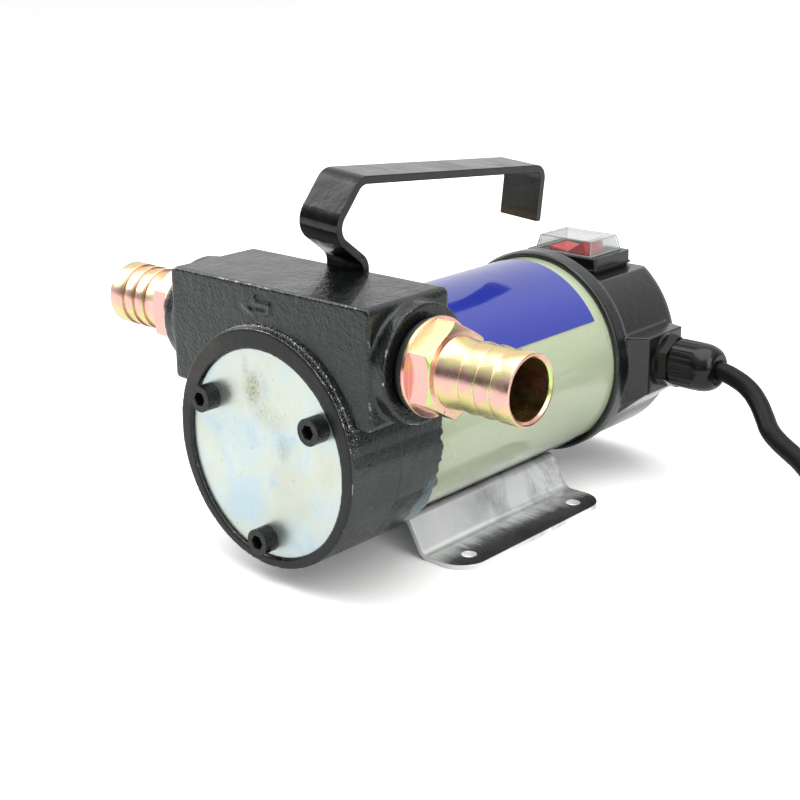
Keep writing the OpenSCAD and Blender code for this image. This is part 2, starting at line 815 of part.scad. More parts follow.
// Hose tail on the +X side: thread, collar, hexagon and three barbs with a plain tip
module hose_tail() {
  collar_x = boss_x + port_seal_d;
  hex_x = collar_x + collar_t;
  b0 = hex_x + tail_hex_len;
  b1 = b0 + first_barb_len;
  b2 = b1 + barb_len;
  b3 = b2 + barb_len;
  tip = b3 + tip_len;
  crest = barb_d / 2;
  root = barb_root_d / 2;
  bore = tail_bore_d / 2;
  difference() {
    union() {
      rod_x(boss_x - thread_depth + tail_thread_gap, thread_depth + port_seal_d, thread_d / 2,
            port_y, port_z);
      rod_x(collar_x, collar_t, collar_d / 2, port_y, port_z);
      translate([hex_x, port_y, port_z]) rotate([0, 90, 0])
        cylinder(h = tail_hex_len, r = tail_hex_af / 2 * hex_corner_share, $fn = 6);
      lathe_x([[0, b0 - overrun], [crest, b0 - overrun], [crest, b0], [root, b1],
        [crest, b1], [root, b2], [crest, b2], [root, b3], [crest, b3],
        [crest, tip - tail_lip / 2], [crest - tail_lip / 2, tip], [0, tip]],
        port_y, port_z);
    }
    lathe_x([[0, boss_x - thread_depth - overrun], [bore, boss_x - thread_depth - overrun],
      [bore, tip - tail_lip], [bore + tail_lip, tip], [bore + tail_lip, tip + overrun],
      [0, tip + overrun]], port_y, port_z);
  }
}

module inlet_hose_tail() color("#d9b36a") hose_tail();

module outlet_hose_tail() color("#d9b36a") mirror([1, 0, 0]) hose_tail();

module port_seal(side)
  translate([side * (boss_x + port_seal_d / 2), port_y, port_z]) rotate([0, 90, 0])
    rotate_extrude() translate([thread_d / 2 + seat_gap + port_seal_d / 2, 0])
      circle(d = port_seal_d, $fn = hidden_fn);

module inlet_seal_ring() color("#151515") port_seal(1);

module outlet_seal_ring() color("#151515") port_seal(-1);

module bypass_poppet() color("#b99a55") {
  head_x = passage_wall / 2 + move_gap;
  stem_end = retainer_x + retainer_t + bypass_travel;
  lathe_x([[0, head_x - poppet_nose_len], [bypass_bore_d / 2 - move_gap,
    head_x - poppet_nose_len], [bypass_bore_d / 2 - move_gap, head_x],
    [poppet_head_d / 2, head_x], [poppet_head_d / 2, head_x + poppet_head_t],
    [poppet_stem_d / 2, head_x + poppet_head_t], [poppet_stem_d / 2, stem_end],
    [0, stem_end]], port_y, port_z);
}

// Points of a helix along +X that starts at the origin
function helix_x(len, r, curls, steps) =
  [for (i = [0 : curls * steps])
    [len * i / (curls * steps), r * cos(360 * i / steps), r * sin(360 * i / steps)]];

module bypass_spring() color("#a8adb2") {
  start = passage_wall / 2 + move_gap + poppet_head_t + bypass_wire_d / 2 + move_gap;
  end = retainer_x - bypass_wire_d / 2 - move_gap;
  translate([start, port_y, port_z])
    swept_tube(helix_x(end - start, bypass_coil_r, bypass_curls, spring_steps),
               bypass_wire_d / 2, spring_sides, [1, 0, 0]);
}

module bypass_retainer() color("#b99a55")
  difference() {
    rod_x(retainer_x, retainer_t, passage_d / 2 - seat_gap, port_y, port_z);
    rod_x(retainer_x - overrun, retainer_t + 2 * overrun, poppet_stem_d / 2 + run_gap,
          port_y, port_z);
    for (k = [0 : retainer_ways - 1])
      rod_x(retainer_x - overrun, retainer_t + 2 * overrun, retainer_way_d / 2,
            port_y + retainer_way_r * cos(45 + 360 * k / retainer_ways),
            port_z + retainer_way_r * sin(45 + 360 * k / retainer_ways));
  }

module motor_flange() color("#26282a")
  difference() {
    union() {
      rod_y(flange_y, flange_t, ring_r);
      rod_y(tube_y - overrun, spigot_len + overrun, tube_in_r - seat_gap);
    }
    difference() {
      rod_y(tube_y, spigot_len + overrun, tube_in_r - spigot_wall);
      rod_y(tube_y - overrun, spigot_len + 2 * overrun,
            front_bearing_d / 2 + bearing_wall);
    }
    rod_y(flange_y + bearing_floor, flange_t + spigot_len, front_bearing_d / 2 + seat_gap);
    rod_y(flange_y - overrun, flange_t, shaft_d / 2 + seal_lip_gap);
    for (a = flange_screw_angles)
      around_shaft(flange_screw_r, a)
        rod_y(flange_y - overrun, flange_t + 2 * overrun,
              flange_screw_d / 2 + cover_hole_play);
    for (s = [-1, 1])
      rod_y(tube_y - tie_grip - overrun, tie_grip + spigot_len + 2 * overrun, tie_d / 2,
            x = s * tie_r);
  }

module flange_screws() color("#6d7073")
  for (a = flange_screw_angles)
    around_shaft(flange_screw_r, a)
      translate([0, 2 * tube_y, 0]) mirror([0, 1, 0])
        screw_y(tube_y, flange_screw_d, flange_t + flange_screw_grip, flange_screw_head_d,
                flange_screw_d);

module motor_tube() color("#c4cdb0")
  difference() {
    rod_y(tube_y, tube_len, tube_r);
    rod_y(tube_y - overrun, tube_len + 2 * overrun, tube_in_r);
  }

module motor_shaft() color("#a9adb1")
  difference() {
    lathe_y([[0, rotor_y + shaft_inset], [shaft_d / 2, rotor_y + shaft_inset],
      [shaft_d / 2, front_shoulder_y], [armature_shaft_d / 2, front_shoulder_y],
      [armature_shaft_d / 2, rear_shoulder_y], [rear_shaft_d / 2, rear_shoulder_y],
      [rear_shaft_d / 2, shaft_end_y], [0, shaft_end_y]]);
    translate([-key_w / 2 - seat_gap, rotor_y + key_inset - seat_gap,
               axis_height + shaft_d / 2 - key_in_shaft - seat_gap])
      cube([key_w + 2 * seat_gap, key_len + 2 * seat_gap, shaft_d]);
  }

module ball_bearing(y, out_d, in_r)
  difference() {
    rod_y(y, bearing_w, out_d / 2);
    rod_y(y - overrun, bearing_w + 2 * overrun, in_r + run_gap);
  }

module front_bearing() color("#b5b9bc")
  ball_bearing(flange_y + bearing_floor, front_bearing_d, shaft_d / 2);

module rear_bearing() color("#b5b9bc")
  ball_bearing(rear_bearing_y, rear_bearing_d, rear_shaft_d / 2);

module armature_core() color("#6c6f72")
  difference() {
    rod_y(armature_y, armature_len, armature_d / 2);
    rod_y(armature_y - overrun, armature_len + 2 * overrun,
          armature_shaft_d / 2 + seat_gap);
    for (k = [0 : slot_count - 1])
      translate([0, 0, axis_height]) rotate([0, 360 * k / slot_count, 0])
        translate([slot_root_r, armature_y - overrun, -slot_w / 2])
          cube([armature_d / 2, armature_len + 2 * overrun, slot_w]);
  }

module armature_winding() color("#9c5a2c") {
  rear_y = armature_y + armature_len;
  difference() {
    union() {
      rod_y(armature_y - winding_front_len, winding_front_len, winding_out_r);
      rod_y(rear_y, winding_rear_len, winding_out_r);
    }
    rod_y(armature_y - winding_front_len - overrun,
          winding_front_len + armature_len + winding_rear_len + 2 * overrun, winding_in_r);
  }
  for (k = [0 : slot_count - 1])
    translate([0, 0, axis_height]) rotate([0, 360 * k / slot_count, 0])
      translate([slot_root_r + winding_gap, armature_y - overrun,
                 winding_gap - slot_w / 2])
        cube([winding_out_r - slot_root_r, armature_len + 2 * overrun,
              slot_w - 2 * winding_gap]);
}

module commutator() color("#b87333")
  difference() {
    rod_y(commutator_y, commutator_len, commutator_d / 2);
    rod_y(commutator_y - overrun, commutator_len + 2 * overrun,
          commutator_d / 2 - commutator_ring_t);
    for (k = [0 : bar_count - 1])
      translate([0, 0, axis_height]) rotate([0, 360 * k / bar_count, 0])
        translate([commutator_d / 2 - bar_slit_depth, commutator_y - overrun,
                   -bar_slit_w / 2])
          cube([commutator_ring_t, commutator_len + 2 * overrun, bar_slit_w]);
  }

module commutator_hub() color("#3a2418")
  difference() {
    rod_y(commutator_y, commutator_len, commutator_d / 2 - commutator_ring_t - seat_gap);
    rod_y(commutator_y - overrun, commutator_len + 2 * overrun,
          rear_shaft_d / 2 + seat_gap);
  }

module field_magnets() color("#3c3d40")
  for (a = [90, 270])
    translate([0, magnet_y, axis_height]) rotate([-90, 0, 0])
      rotate([0, 0, a - magnet_angle / 2]) rotate_extrude(angle = magnet_angle)
        translate([tube_in_r - seat_gap - magnet_t, 0]) square([magnet_t, magnet_len]);

module tie_bolts() color("#8f9396")
  for (s = [-1, 1]) {
    rod_y(tube_y - tie_grip, plate_back_y - tube_y + tie_grip, tie_d / 2 - seat_gap,
          x = s * tie_r);
    rod_y(plate_back_y, tie_head_t, tie_head_d / 2, x = s * tie_r, $fn = 6);
  }

module rear_bearing_plate() color("#8b8e91")
  difference() {
    union() {
      rod_y(plate_y, rear_plate_t, tube_in_r - seat_gap);
      rod_y(plate_y - rear_hub_len, rear_hub_len + overrun,
            rear_bearing_d / 2 + bearing_wall);
    }
    rod_y(plate_y - rear_hub_len - overrun, bearing_w + overrun,
          rear_bearing_d / 2 + seat_gap);
    rod_y(plate_y, rear_plate_t + overrun, rear_shaft_d / 2 + seal_lip_gap);
    for (s = [-1, 1])
      rod_y(plate_y - overrun, rear_plate_t + 2 * overrun, tie_d / 2 + seat_gap,
            x = s * tie_r);
    for (a = vent_angles)
      around_shaft(vent_r, a)
        rod_y(plate_y - overrun, rear_plate_t + 2 * overrun, vent_d / 2);
    for (a = pillar_angles)
      around_shaft(pillar_r, a)
        rod_y(plate_back_y - cap_screw_grip - overrun, cap_screw_grip + 2 * overrun,
              cap_screw_d / 2);
    rod_y(plate_back_y - cap_screw_grip - overrun, cap_screw_grip + 2 * overrun,
          rectifier_screw_d / 2, z = -rectifier_drop);
  }

module brush_plate() color("#6b3f22")
  difference() {
    rod_y(plate_y - brush_plate_t, brush_plate_t, tie_r - tie_d / 2 - seat_gap);
    rod_y(plate_y - brush_plate_t - overrun, brush_plate_t + 2 * overrun,
          rear_bearing_d / 2 + bearing_wall + seat_gap);
    for (a = vent_angles)
      around_shaft(vent_r, a)
        rod_y(plate_y - brush_plate_t - overrun, brush_plate_t + 2 * overrun, vent_d / 2);
  }

// Box that guides one brush on the +X side, with its foot on the brush plate
module brush_box() {
  inner_x = commutator_d / 2 + holder_start;
  outer_x = commutator_d / 2 + holder_reach;
  half_z = brush_w / 2 + brush_play + holder_wall;
  y0 = brush_y - brush_play - holder_wall;
  box_len = brush_len + 2 * (brush_play + holder_wall);
  difference() {
    union() {
      translate([inner_x, y0, axis_height - half_z])
        cube([outer_x - inner_x, box_len, 2 * half_z]);
      translate([rear_bearing_d / 2 + bearing_wall + holder_start, y0 + box_len - overrun,
                 axis_height - half_z])
        cube([outer_x - rear_bearing_d / 2 - bearing_wall - holder_start,
              plate_y - brush_plate_t - y0 - box_len + overrun, 2 * half_z]);
    }
    translate([0, brush_y - brush_play, axis_height - brush_w / 2 - brush_play])
      cube([outer_x - holder_wall, brush_len + 2 * brush_play,
            brush_w + 2 * brush_play]);
  }
}

module brush_holders() color("#b08d3c") {
  brush_box();
  mirror([1, 0, 0]) brush_box();
}

module brush()
  difference() {
    translate([0, brush_y, axis_height - brush_w / 2])
      cube([commutator_d / 2 + run_gap + brush_h, brush_len, brush_w]);
    rod_y(brush_y - overrun, brush_len + 2 * overrun, commutator_d / 2 + run_gap);
  }

module brushes() color("#2b2b2d") {
  brush();
  mirror([1, 0, 0]) brush();
}

module brush_spring() {
  start = commutator_d / 2 + run_gap + brush_h + brush_wire_d / 2 + seat_gap;
  end = commutator_d / 2 + holder_reach - holder_wall - brush_wire_d / 2 - seat_gap;
  translate([start, brush_y + brush_len / 2, axis_height])
    swept_tube(helix_x(end - start, brush_coil_r, brush_curls, spring_steps),
               brush_wire_d / 2, spring_sides, [1, 0, 0]);
}

module brush_springs() color("#a8adb2") {
  brush_spring();
  mirror([1, 0, 0]) brush_spring();
}

module rectifier() color("#2e3033")
  translate([0, 0, -rectifier_drop])
    difference() {
      slab_y(plate_back_y, rectifier_t)
        round_rect(rectifier_w, rectifier_w, pocket_corner_r);
      rod_y(plate_back_y - overrun, rectifier_t + 2 * overrun,
            rectifier_screw_d / 2 + seat_gap);
    }

module rectifier_screw() color("#8f9396")
  translate([0, 2 * (plate_back_y + rectifier_t), -rectifier_drop]) mirror([0, 1, 0])
    screw_y(plate_back_y + rectifier_t, rectifier_screw_d, rectifier_t + cap_screw_grip,
            cap_screw_head_d, cap_screw_head_h);

module label() color("#4a5fe0")
  translate([0, tube_y + label_front_gap, axis_height]) rotate([-90, 0, 0])
    rotate([0, 0, -90 - label_angle / 2]) rotate_extrude(angle = label_angle)
      translate([tube_r + run_gap, 0]) square([label_t, label_len]);

// The boss of the gland: a level-topped wedge that grows out of the cap's side from
// behind the collar to the gland's seat
module gland_boss() {
  root_x = cap_d / 2 - boss_root;
  start_y = cap_y + cap_collar_len - cap_edge;
  translate([0, 0, gland_z - boss_down]) linear_extrude(boss_up + boss_down)
    polygon([[root_x, start_y], [cap_d / 2 + boss_lip, start_y],
      [gland_seat, gland_y - gland_boss_d / 2], [gland_seat, gland_y + gland_boss_d / 2],
      [root_x, cap_y + boss_back]]);
}

module end_cap() color("#232527")
  difference() {
    union() {
      difference() {
        lathe_y([[0, cap_y], [collar_cap_d / 2 - cap_edge, cap_y],
          [collar_cap_d / 2, cap_y + cap_edge], [collar_cap_d / 2, cap_y + cap_collar_len],
          [cap_d / 2, cap_y + cap_collar_len + cap_edge],
          each quarter_bend(cap_rear_d / 2, cap_d / 2, cap_rear_y - cap_taper_len,
                            cap_taper_len),
          [0, cap_rear_y]]);
        translate([-cap_d, cap_y + cap_collar_len + flat_land, flat_z])
          cube([2 * cap_d, cap_len, cap_d]);
      }
      gland_boss();
    }
    // Socket of the tube and the room inside, which stays under the switch flat
    difference() {
      union() {
        rod_y(cap_y - overrun, socket_depth + gasket_t + overrun, tube_r + seat_gap);
        rod_y(cap_y, cap_len - cap_wall, cap_in_r);
      }
      translate([-cap_d, tube_end_y + gasket_t, flat_z - cap_wall])
        cube([2 * cap_d, cap_len, cap_d]);
      for (a = pillar_angles)
        around_shaft(pillar_r, a)
          rod_y(plate_back_y, cap_len, pillar_d / 2);
    }
    for (a = pillar_angles)
      around_shaft(pillar_r, a)
        rod_y(plate_back_y - overrun, cap_len, cap_screw_d / 2 + seat_gap);
    // Opening of the switch, and the hole and inner seat of the gland
    translate([0, switch_y, flat_z - cap_wall - overrun])
      linear_extrude(cap_wall + 2 * overrun)
        square([switch_body_w + 2 * switch_hole_play,
                switch_body_d + 2 * switch_hole_play], center = true);
    rod_x(0, gland_seat + overrun, gland_thread_d / 2 + seat_gap, gland_y, gland_z);
    rod_x(gland_seat - gland_wall - locknut_t - cap_wall, locknut_t + cap_wall,
          locknut_pocket_d / 2, gland_y, gland_z);
  }

module cap_gasket() color("#151515")
  difference() {
    rod_y(tube_end_y, gasket_t, tube_r);
    rod_y(tube_end_y - overrun, gasket_t + 2 * overrun, tube_r - gasket_in);
  }

module cap_screws() color("#303234")
  for (a = pillar_angles)
    around_shaft(pillar_r, a)
      translate([0, 2 * cap_rear_y, 0]) mirror([0, 1, 0])
        screw_y(cap_rear_y, cap_screw_d, cap_rear_y - plate_back_y + cap_screw_grip,
                cap_screw_head_d, cap_screw_head_h);

module switch_gasket() color("#101010")
  translate([0, switch_y, flat_z]) linear_extrude(switch_gasket_t) difference() {
    round_rect(frame_w - 2 * gasket_set_in, frame_d - 2 * gasket_set_in, frame_corner_r);
    square([switch_body_w + 2 * switch_hole_play,
            switch_body_d + 2 * switch_hole_play], center = true);
  }

module switch_frame() color("#17181a")
  difference() {
    translate([0, switch_y, frame_z]) {
      linear_extrude(frame_lip_t) round_rect(frame_w, frame_d, frame_corner_r);
      linear_extrude(frame_h)
        round_rect(frame_w - 2 * frame_lip, frame_d - 2 * frame_lip, frame_corner_r);
    }
    translate([0, switch_y, frame_z - overrun]) linear_extrude(frame_h + 2 * overrun)
      square([well_w, well_d], center = true);
    translate([0, switch_y - well_d / 2 - trunnion_len, pivot_z]) rotate([-90, 0, 0])
      cylinder(h = well_d + 2 * trunnion_len, r = trunnion_d / 2 + run_gap);
  }

module switch_body() color("#202224")
  difference() {
    translate([0, switch_y, frame_z - switch_body_h]) linear_extrude(switch_body_h)
      square([switch_body_w, switch_body_d], center = true);
    translate([0, switch_y, frame_z - well_depth]) linear_extrude(well_depth + overrun)
      square([well_w - 2 * well_step, well_d], center = true);
  }

module switch_terminals() color("#c2a24a")
  for (sx = [-1, 1], sy = [-1, 1])
    translate([sx * tab_x - tab_w / 2, switch_y + sy * tab_y - tab_t / 2,
               frame_z - switch_body_h - tab_len])
      cube([tab_w, tab_t, tab_len]);

// The rocker is drawn with its -X end pressed, and swings about its trunnions
module switch_rocker() color("#c8202a")
  translate([0, switch_y, pivot_z]) rotate([0, -rocker_tilt, 0]) {
    translate([0, rocker_w / 2, 0]) rotate([90, 0, 0]) linear_extrude(rocker_w)
      polygon([[-rocker_half, rocker_end_h], [-rocker_half, rocker_skirt_h],
        [-rocker_half * rocker_foot_share, -rocker_foot_drop],
        [rocker_half * rocker_foot_share, -rocker_foot_drop],
        [rocker_half, rocker_skirt_h], [rocker_half, rocker_end_h], [0, rocker_mid_h]]);
    translate([0, move_gap - well_d / 2 - trunnion_len, 0]) rotate([-90, 0, 0])
      cylinder(h = well_d + 2 * (trunnion_len - move_gap), d = trunnion_d);
  }

function slant_side(w0, w1, h) = [[-w0 / 2, 0], [w0 / 2, 0], [w1 / 2, h], [-w1 / 2, h]];

// Slant-sided box: a base and a top rectangle joined by flat sides
module slant_box(w0, d0, w1, d1, h)
  intersection() {
    rotate([90, 0, 0]) linear_extrude(d0, center = true) polygon(slant_side(w0, w1, h));
    rotate([90, 0, 90]) linear_extrude(w0, center = true)
      polygon(slant_side(d0, d1, h));
  }

module switch_boot() color([0.92, 0.96, 0.96, 0.4])
  translate([0, switch_y, frame_top_z])
    difference() {
      slant_box(boot_base_w, boot_base_d, boot_top_w, boot_top_d, boot_h);
      translate([0, 0, -boot_wall])
        slant_box(boot_base_w - 2 * boot_wall, boot_base_d - 2 * boot_wall,
                  boot_top_w - 2 * boot_wall, boot_top_d - 2 * boot_wall, boot_h);
    }

module gland_body() color("#1c1d1f") {
  hex_x = gland_seat + gland_flange_t;
  neck_x = hex_x + gland_hex_t;
  difference() {
    union() {
      rod_x(gland_seat - gland_wall - gland_nose_len, gland_wall + gland_nose_len + overrun,
            gland_thread_d / 2, gland_y, gland_z);
      rod_x(gland_seat, gland_flange_t, gland_flange_d / 2, gland_y, gland_z);
      translate([hex_x, gland_y, gland_z]) rotate([0, 90, 0])
        cylinder(h = gland_hex_t, r = gland_hex_af / 2 * hex_corner_share, $fn = 6);
      rod_x(neck_x - overrun, gland_neck_len + overrun, gland_neck_d / 2, gland_y, gland_z);
    }
    rod_x(0, 2 * gland_seat, gland_bore_d / 2, gland_y, gland_z);
  }
}

module gland_locknut() color("#1c1d1f")
  difference() {
    translate([gland_seat - gland_wall - locknut_t, gland_y, gland_z]) rotate([0, 90, 0])
      cylinder(h = locknut_t, r = locknut_af / 2 * hex_corner_share, $fn = 6);
    rod_x(0, gland_seat, gland_thread_d / 2 + seat_gap, gland_y, gland_z);
  }

module gland_seal() color("#2a2a2a")
  difference() {
    rod_x(gland_seal_x, gland_seal_len, dome_nut_d / 2 - dome_nut_wall - seat_gap, gland_y,
          gland_z);
    rod_x(0, 2 * gland_seat, cord_r + seat_gap, gland_y, gland_z);
  }

module gland_dome_nut() color("#1c1d1f") {
  x0 = gland_seat + gland_flange_t + gland_hex_t + dome_start;
  x1 = x0 + dome_nut_len;
  xd = x1 - dome_len;
  r = dome_nut_d / 2;
  hollow = r - dome_nut_wall;
  difference() {
    lathe_x([[0, x0], [r, x0], each quarter_bend(dome_lip_d / 2, r, xd, dome_len),
      [0, x1]], gland_y, gland_z);
    rod_x(x0 - overrun, gland_seal_x + gland_seal_len - x0 + overrun, hollow, gland_y,
          gland_z);
    rod_x(x0, dome_nut_len + overrun, dome_mouth_d / 2, gland_y, gland_z);
    for (k = [0 : dome_ribs - 1])
      rod_x(x0 - overrun, dome_nut_len - dome_len + overrun, rib_groove_d / 2,
            gland_y + (r + rib_groove_d / 4) * cos(360 * k / dome_ribs),
            gland_z + (r + rib_groove_d / 4) * sin(360 * k / dome_ribs),
            $fn = hidden_fn);
  }
}

module cord_tail() color("#1a1a1b")
  rod_x(gland_seat - gland_wall - gland_nose_len - gland_tail_in,
        gland_seal_x + gland_seal_len - gland_seat + gland_wall + gland_nose_len
        + gland_tail_in, cord_r, gland_y, gland_z);

function free_route() = concat(
  [[gland_seal_x + gland_seal_len, gland_y, gland_z], cord_exit], cord_route);

module power_cord() color("#1a1a1b")
  swept_tube(free_route(), cord_r, route_sides, [0, 0, 1]);

// The coil: an inward spiral on the floor, a climb of one layer in the half turn in
// which the spiral reverses, and an outward spiral on top. t is the number of turns run.
function coil_r(t) = coil_outer_r - coil_pitch * (coil_turns / 2 - abs(t - coil_turns / 2));
function coil_h(t) = coil_pitch * max(0, min(1, 2 * (t - coil_turns / 2) + 0.5));
function coil_point(t) = coil_center + [coil_r(t) * cos(coil_start_angle + 360 * t),
  coil_r(t) * sin(coil_start_angle + 360 * t), coil_h(t)];
coil_steps = round(coil_turns * loop_rings);
plug_dir = [cos(plug_heading), sin(plug_heading), 0];
coil_end = coil_point(coil_turns) + plug_dir * coil_tail;
coil_path = concat([coil_point(0) - [coil_lead, 0, 0]],
  [for (i = [0 : coil_steps]) coil_point(coil_turns * i / coil_steps)],
  [coil_point(coil_turns) + plug_dir * coil_lead, coil_end]);
echo(coil_least_gap = least_gap(coil_path, cord_r, round(loop_rings / 2)));
echo(coil_length = coil_turns * 2 * PI * (coil_outer_r - coil_pitch * coil_turns / 4)
  + coil_lead + coil_tail);

module cord_coil() color("#1a1a1b") swept_tube(coil_path, cord_r, loop_sides, [0, 0, 1]);

module coil_tie() color("#111111") {
  inner = coil_outer_r - coil_pitch * coil_turns / 2 - cord_r - move_gap;
  outer = coil_outer_r + cord_r + move_gap;
  low = coil_center[2] - cord_r - move_gap;
  high = coil_center[2] + coil_pitch + cord_r + move_gap;
  translate([coil_center[0], coil_center[1], 0]) rotate([0, 0, tie_angle])
    translate([0, tie_w / 2, 0]) rotate([90, 0, 0]) linear_extrude(tie_w)
      difference() {
        translate([inner - tie_band_t, low - tie_band_t])
          square([outer - inner + 2 * tie_band_t, high - low + 2 * tie_band_t]);
        translate([inner, low]) square([outer - inner, high - low]);
      }
}

// Puts its children at the coil's end, with +X along the cord towards the plug's pins
module at_plug() translate(coil_end) rotate([0, 0, plug_heading]) children();

module plug_body() color("#161617") {
  plug_h = 2 * coil_end[2];
  at_plug() {
    rotate([0, 90, 0])
      cylinder(h = plug_relief_len, r1 = plug_relief_d / 2, r2 = plug_relief_root_d / 2);
    translate([plug_relief_len - overrun, 0, 0]) difference() {
      rotate([90, 0, 90]) linear_extrude(plug_len + overrun)
        round_rect(plug_w, plug_h, plug_corner_r);
      for (s = [-1, 1])
        translate([plug_len + overrun - plug_edge_r, s * pin_spacing / 2, 0])
          rotate([0, 90, 0])
          cylinder(h = plug_edge_r + overrun, r = pin_d / 2 + seat_gap);
    }
  }
}

module plug_pins() color("#c8c9c4")
  at_plug()
    for (s = [-1, 1])
      translate([plug_relief_len + plug_len - plug_edge_r, s * pin_spacing / 2, 0])
        rotate([0, 90, 0]) {
          cylinder(h = plug_edge_r + pin_len - pin_d / 2, d = pin_d);
          translate([0, 0, plug_edge_r + pin_len - pin_d / 2]) sphere(d = pin_d);
        }

// Middle line of the base sheet, in X and height above the shaft
function base_line() =
  let (r = tube_r + saddle_gap + base_t / 2, floor_z = base_t / 2 - axis_height)
  let (touch = [r * sin(saddle_angle), -r * cos(saddle_angle)])
  let (fold = touch + fold_run * [cos(saddle_angle), sin(saddle_angle)])
  [[-base_w / 2, floor_z], [-flange_inner_x, floor_z], [-fold[0], fold[1]],
    [0, -r / cos(saddle_angle)], fold, [flange_inner_x, floor_z], [base_w / 2, floor_z]];

module base_bracket() color("#d3d6d8") {
  saddle_r = tube_r + saddle_gap + base_t / 2;
  difference() {
    intersection() {
      slab_y(-base_len / 2, base_len)
        polygon(strip_outline(base_line(),
          [base_bend_r, saddle_fold_r, saddle_r, saddle_fold_r, base_bend_r], base_t,
          [strip_steps, strip_steps, saddle_steps, strip_steps, strip_steps]));
      linear_extrude(axis_height) round_rect(base_w, base_len, base_corner_r);
    }
    for (sx = [-1, 1], sy = [-1, 1])
      translate([sx * base_hole_x / 2, sy * base_hole_y / 2, -overrun])
        cylinder(h = base_t + 2 * overrun, d = base_hole_d);
  }
}

// Middle line of the handle strip, in Y and height above the shaft
function handle_line() =
  let (y0 = block_back_y + handle_t / 2, rear_y = front_y + handle_crown_y + handle_reach)
  [[y0, handle_foot_z], [y0, block_rise + handle_fold_rise],
    [front_y + handle_nose_y, block_rise + handle_nose_rise],
    [front_y + handle_crown_y, block_rise + handle_rise - handle_t / 2],
    [rear_y, block_rise + handle_rear_rise - handle_t / 2],
    [rear_y - handle_end_lean, block_rise + handle_end_rise]];

module carry_handle() color("#111214")
  difference() {
    translate([0, 0, axis_height + handle_screw_z]) rotate([0, handle_lean, 0])
      translate([-handle_w / 2, 0, -handle_screw_z]) rotate([90, 0, 90])
        linear_extrude(handle_w)
          polygon(strip_outline(handle_line(),
            [handle_fold_r, handle_nose_r, handle_crown_r, handle_rear_r], handle_t,
            [strip_steps, strip_steps, strip_steps, strip_steps]));
    for (s = [-1, 1])
      rod_y(block_back_y - overrun, handle_t + 2 * overrun,
            handle_screw_d / 2 + cover_hole_play, x = s * handle_screw_x,
            z = handle_screw_z);
  }

module handle_screws() color("#1b1b1c")
  for (s = [-1, 1])
    translate([s * handle_screw_x, 2 * (block_back_y + handle_t), handle_screw_z])
      mirror([0, 1, 0])
        screw_y(block_back_y + handle_t, handle_screw_d, handle_t + handle_screw_len,
                handle_screw_head_d, handle_screw_head_h);

pump_casting();
cover_plate();
cover_seal();
cover_screws();
pump_rotor();
vanes();
drive_key();
shaft_seal();
inlet_hose_tail();
outlet_hose_tail();
inlet_seal_ring();
outlet_seal_ring();
bypass_poppet();
bypass_spring();
bypass_retainer();
motor_flange();
flange_screws();
motor_tube();
motor_shaft();
front_bearing();
rear_bearing();
armature_core();
armature_winding();
commutator();
commutator_hub();
field_magnets();
tie_bolts();
rear_bearing_plate();
brush_plate();
brush_holders();
brushes();
brush_springs();
rectifier();
rectifier_screw();
label();
end_cap();
cap_gasket();
cap_screws();
switch_gasket();
switch_frame();
switch_body();
switch_terminals();
switch_rocker();
switch_boot();
gland_body();
gland_locknut();
gland_seal();
gland_dome_nut();
cord_tail();
power_cord();
cord_coil();
coil_tie();
plug_body();
plug_pins();
base_bracket();
carry_handle();
handle_screws();
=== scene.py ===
import json
import math

import bmesh
import bpy
from mathutils import Matrix, Vector
from mathutils.noise import noise as noise_at


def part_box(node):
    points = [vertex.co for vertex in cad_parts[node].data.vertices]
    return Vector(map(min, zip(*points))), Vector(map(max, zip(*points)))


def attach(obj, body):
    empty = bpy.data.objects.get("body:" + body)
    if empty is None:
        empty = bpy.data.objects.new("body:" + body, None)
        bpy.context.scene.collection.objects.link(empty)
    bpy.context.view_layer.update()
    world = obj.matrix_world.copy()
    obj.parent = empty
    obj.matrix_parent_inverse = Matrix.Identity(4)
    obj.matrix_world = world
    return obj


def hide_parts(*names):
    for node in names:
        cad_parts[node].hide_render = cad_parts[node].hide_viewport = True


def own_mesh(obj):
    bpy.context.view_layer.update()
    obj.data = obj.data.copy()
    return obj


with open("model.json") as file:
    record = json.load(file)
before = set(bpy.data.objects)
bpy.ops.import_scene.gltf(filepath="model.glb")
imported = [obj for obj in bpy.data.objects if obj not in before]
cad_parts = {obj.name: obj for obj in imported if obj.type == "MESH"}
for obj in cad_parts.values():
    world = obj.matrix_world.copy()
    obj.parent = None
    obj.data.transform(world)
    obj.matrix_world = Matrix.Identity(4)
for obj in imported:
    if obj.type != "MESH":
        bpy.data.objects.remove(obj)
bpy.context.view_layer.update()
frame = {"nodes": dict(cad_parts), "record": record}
nodes = frame["nodes"]
MM = 0.001
AXIS_Z = 0.052  # height of the shaft

# ---------------------------------------------------------------- camera
AZIMUTH = math.radians(42.29)
ELEVATION = math.radians(16.19)
ROLL = math.radians(-0.75)
TARGET = Vector((-0.00441, -0.0180, 0.07413))
DISTANCE = 0.59246

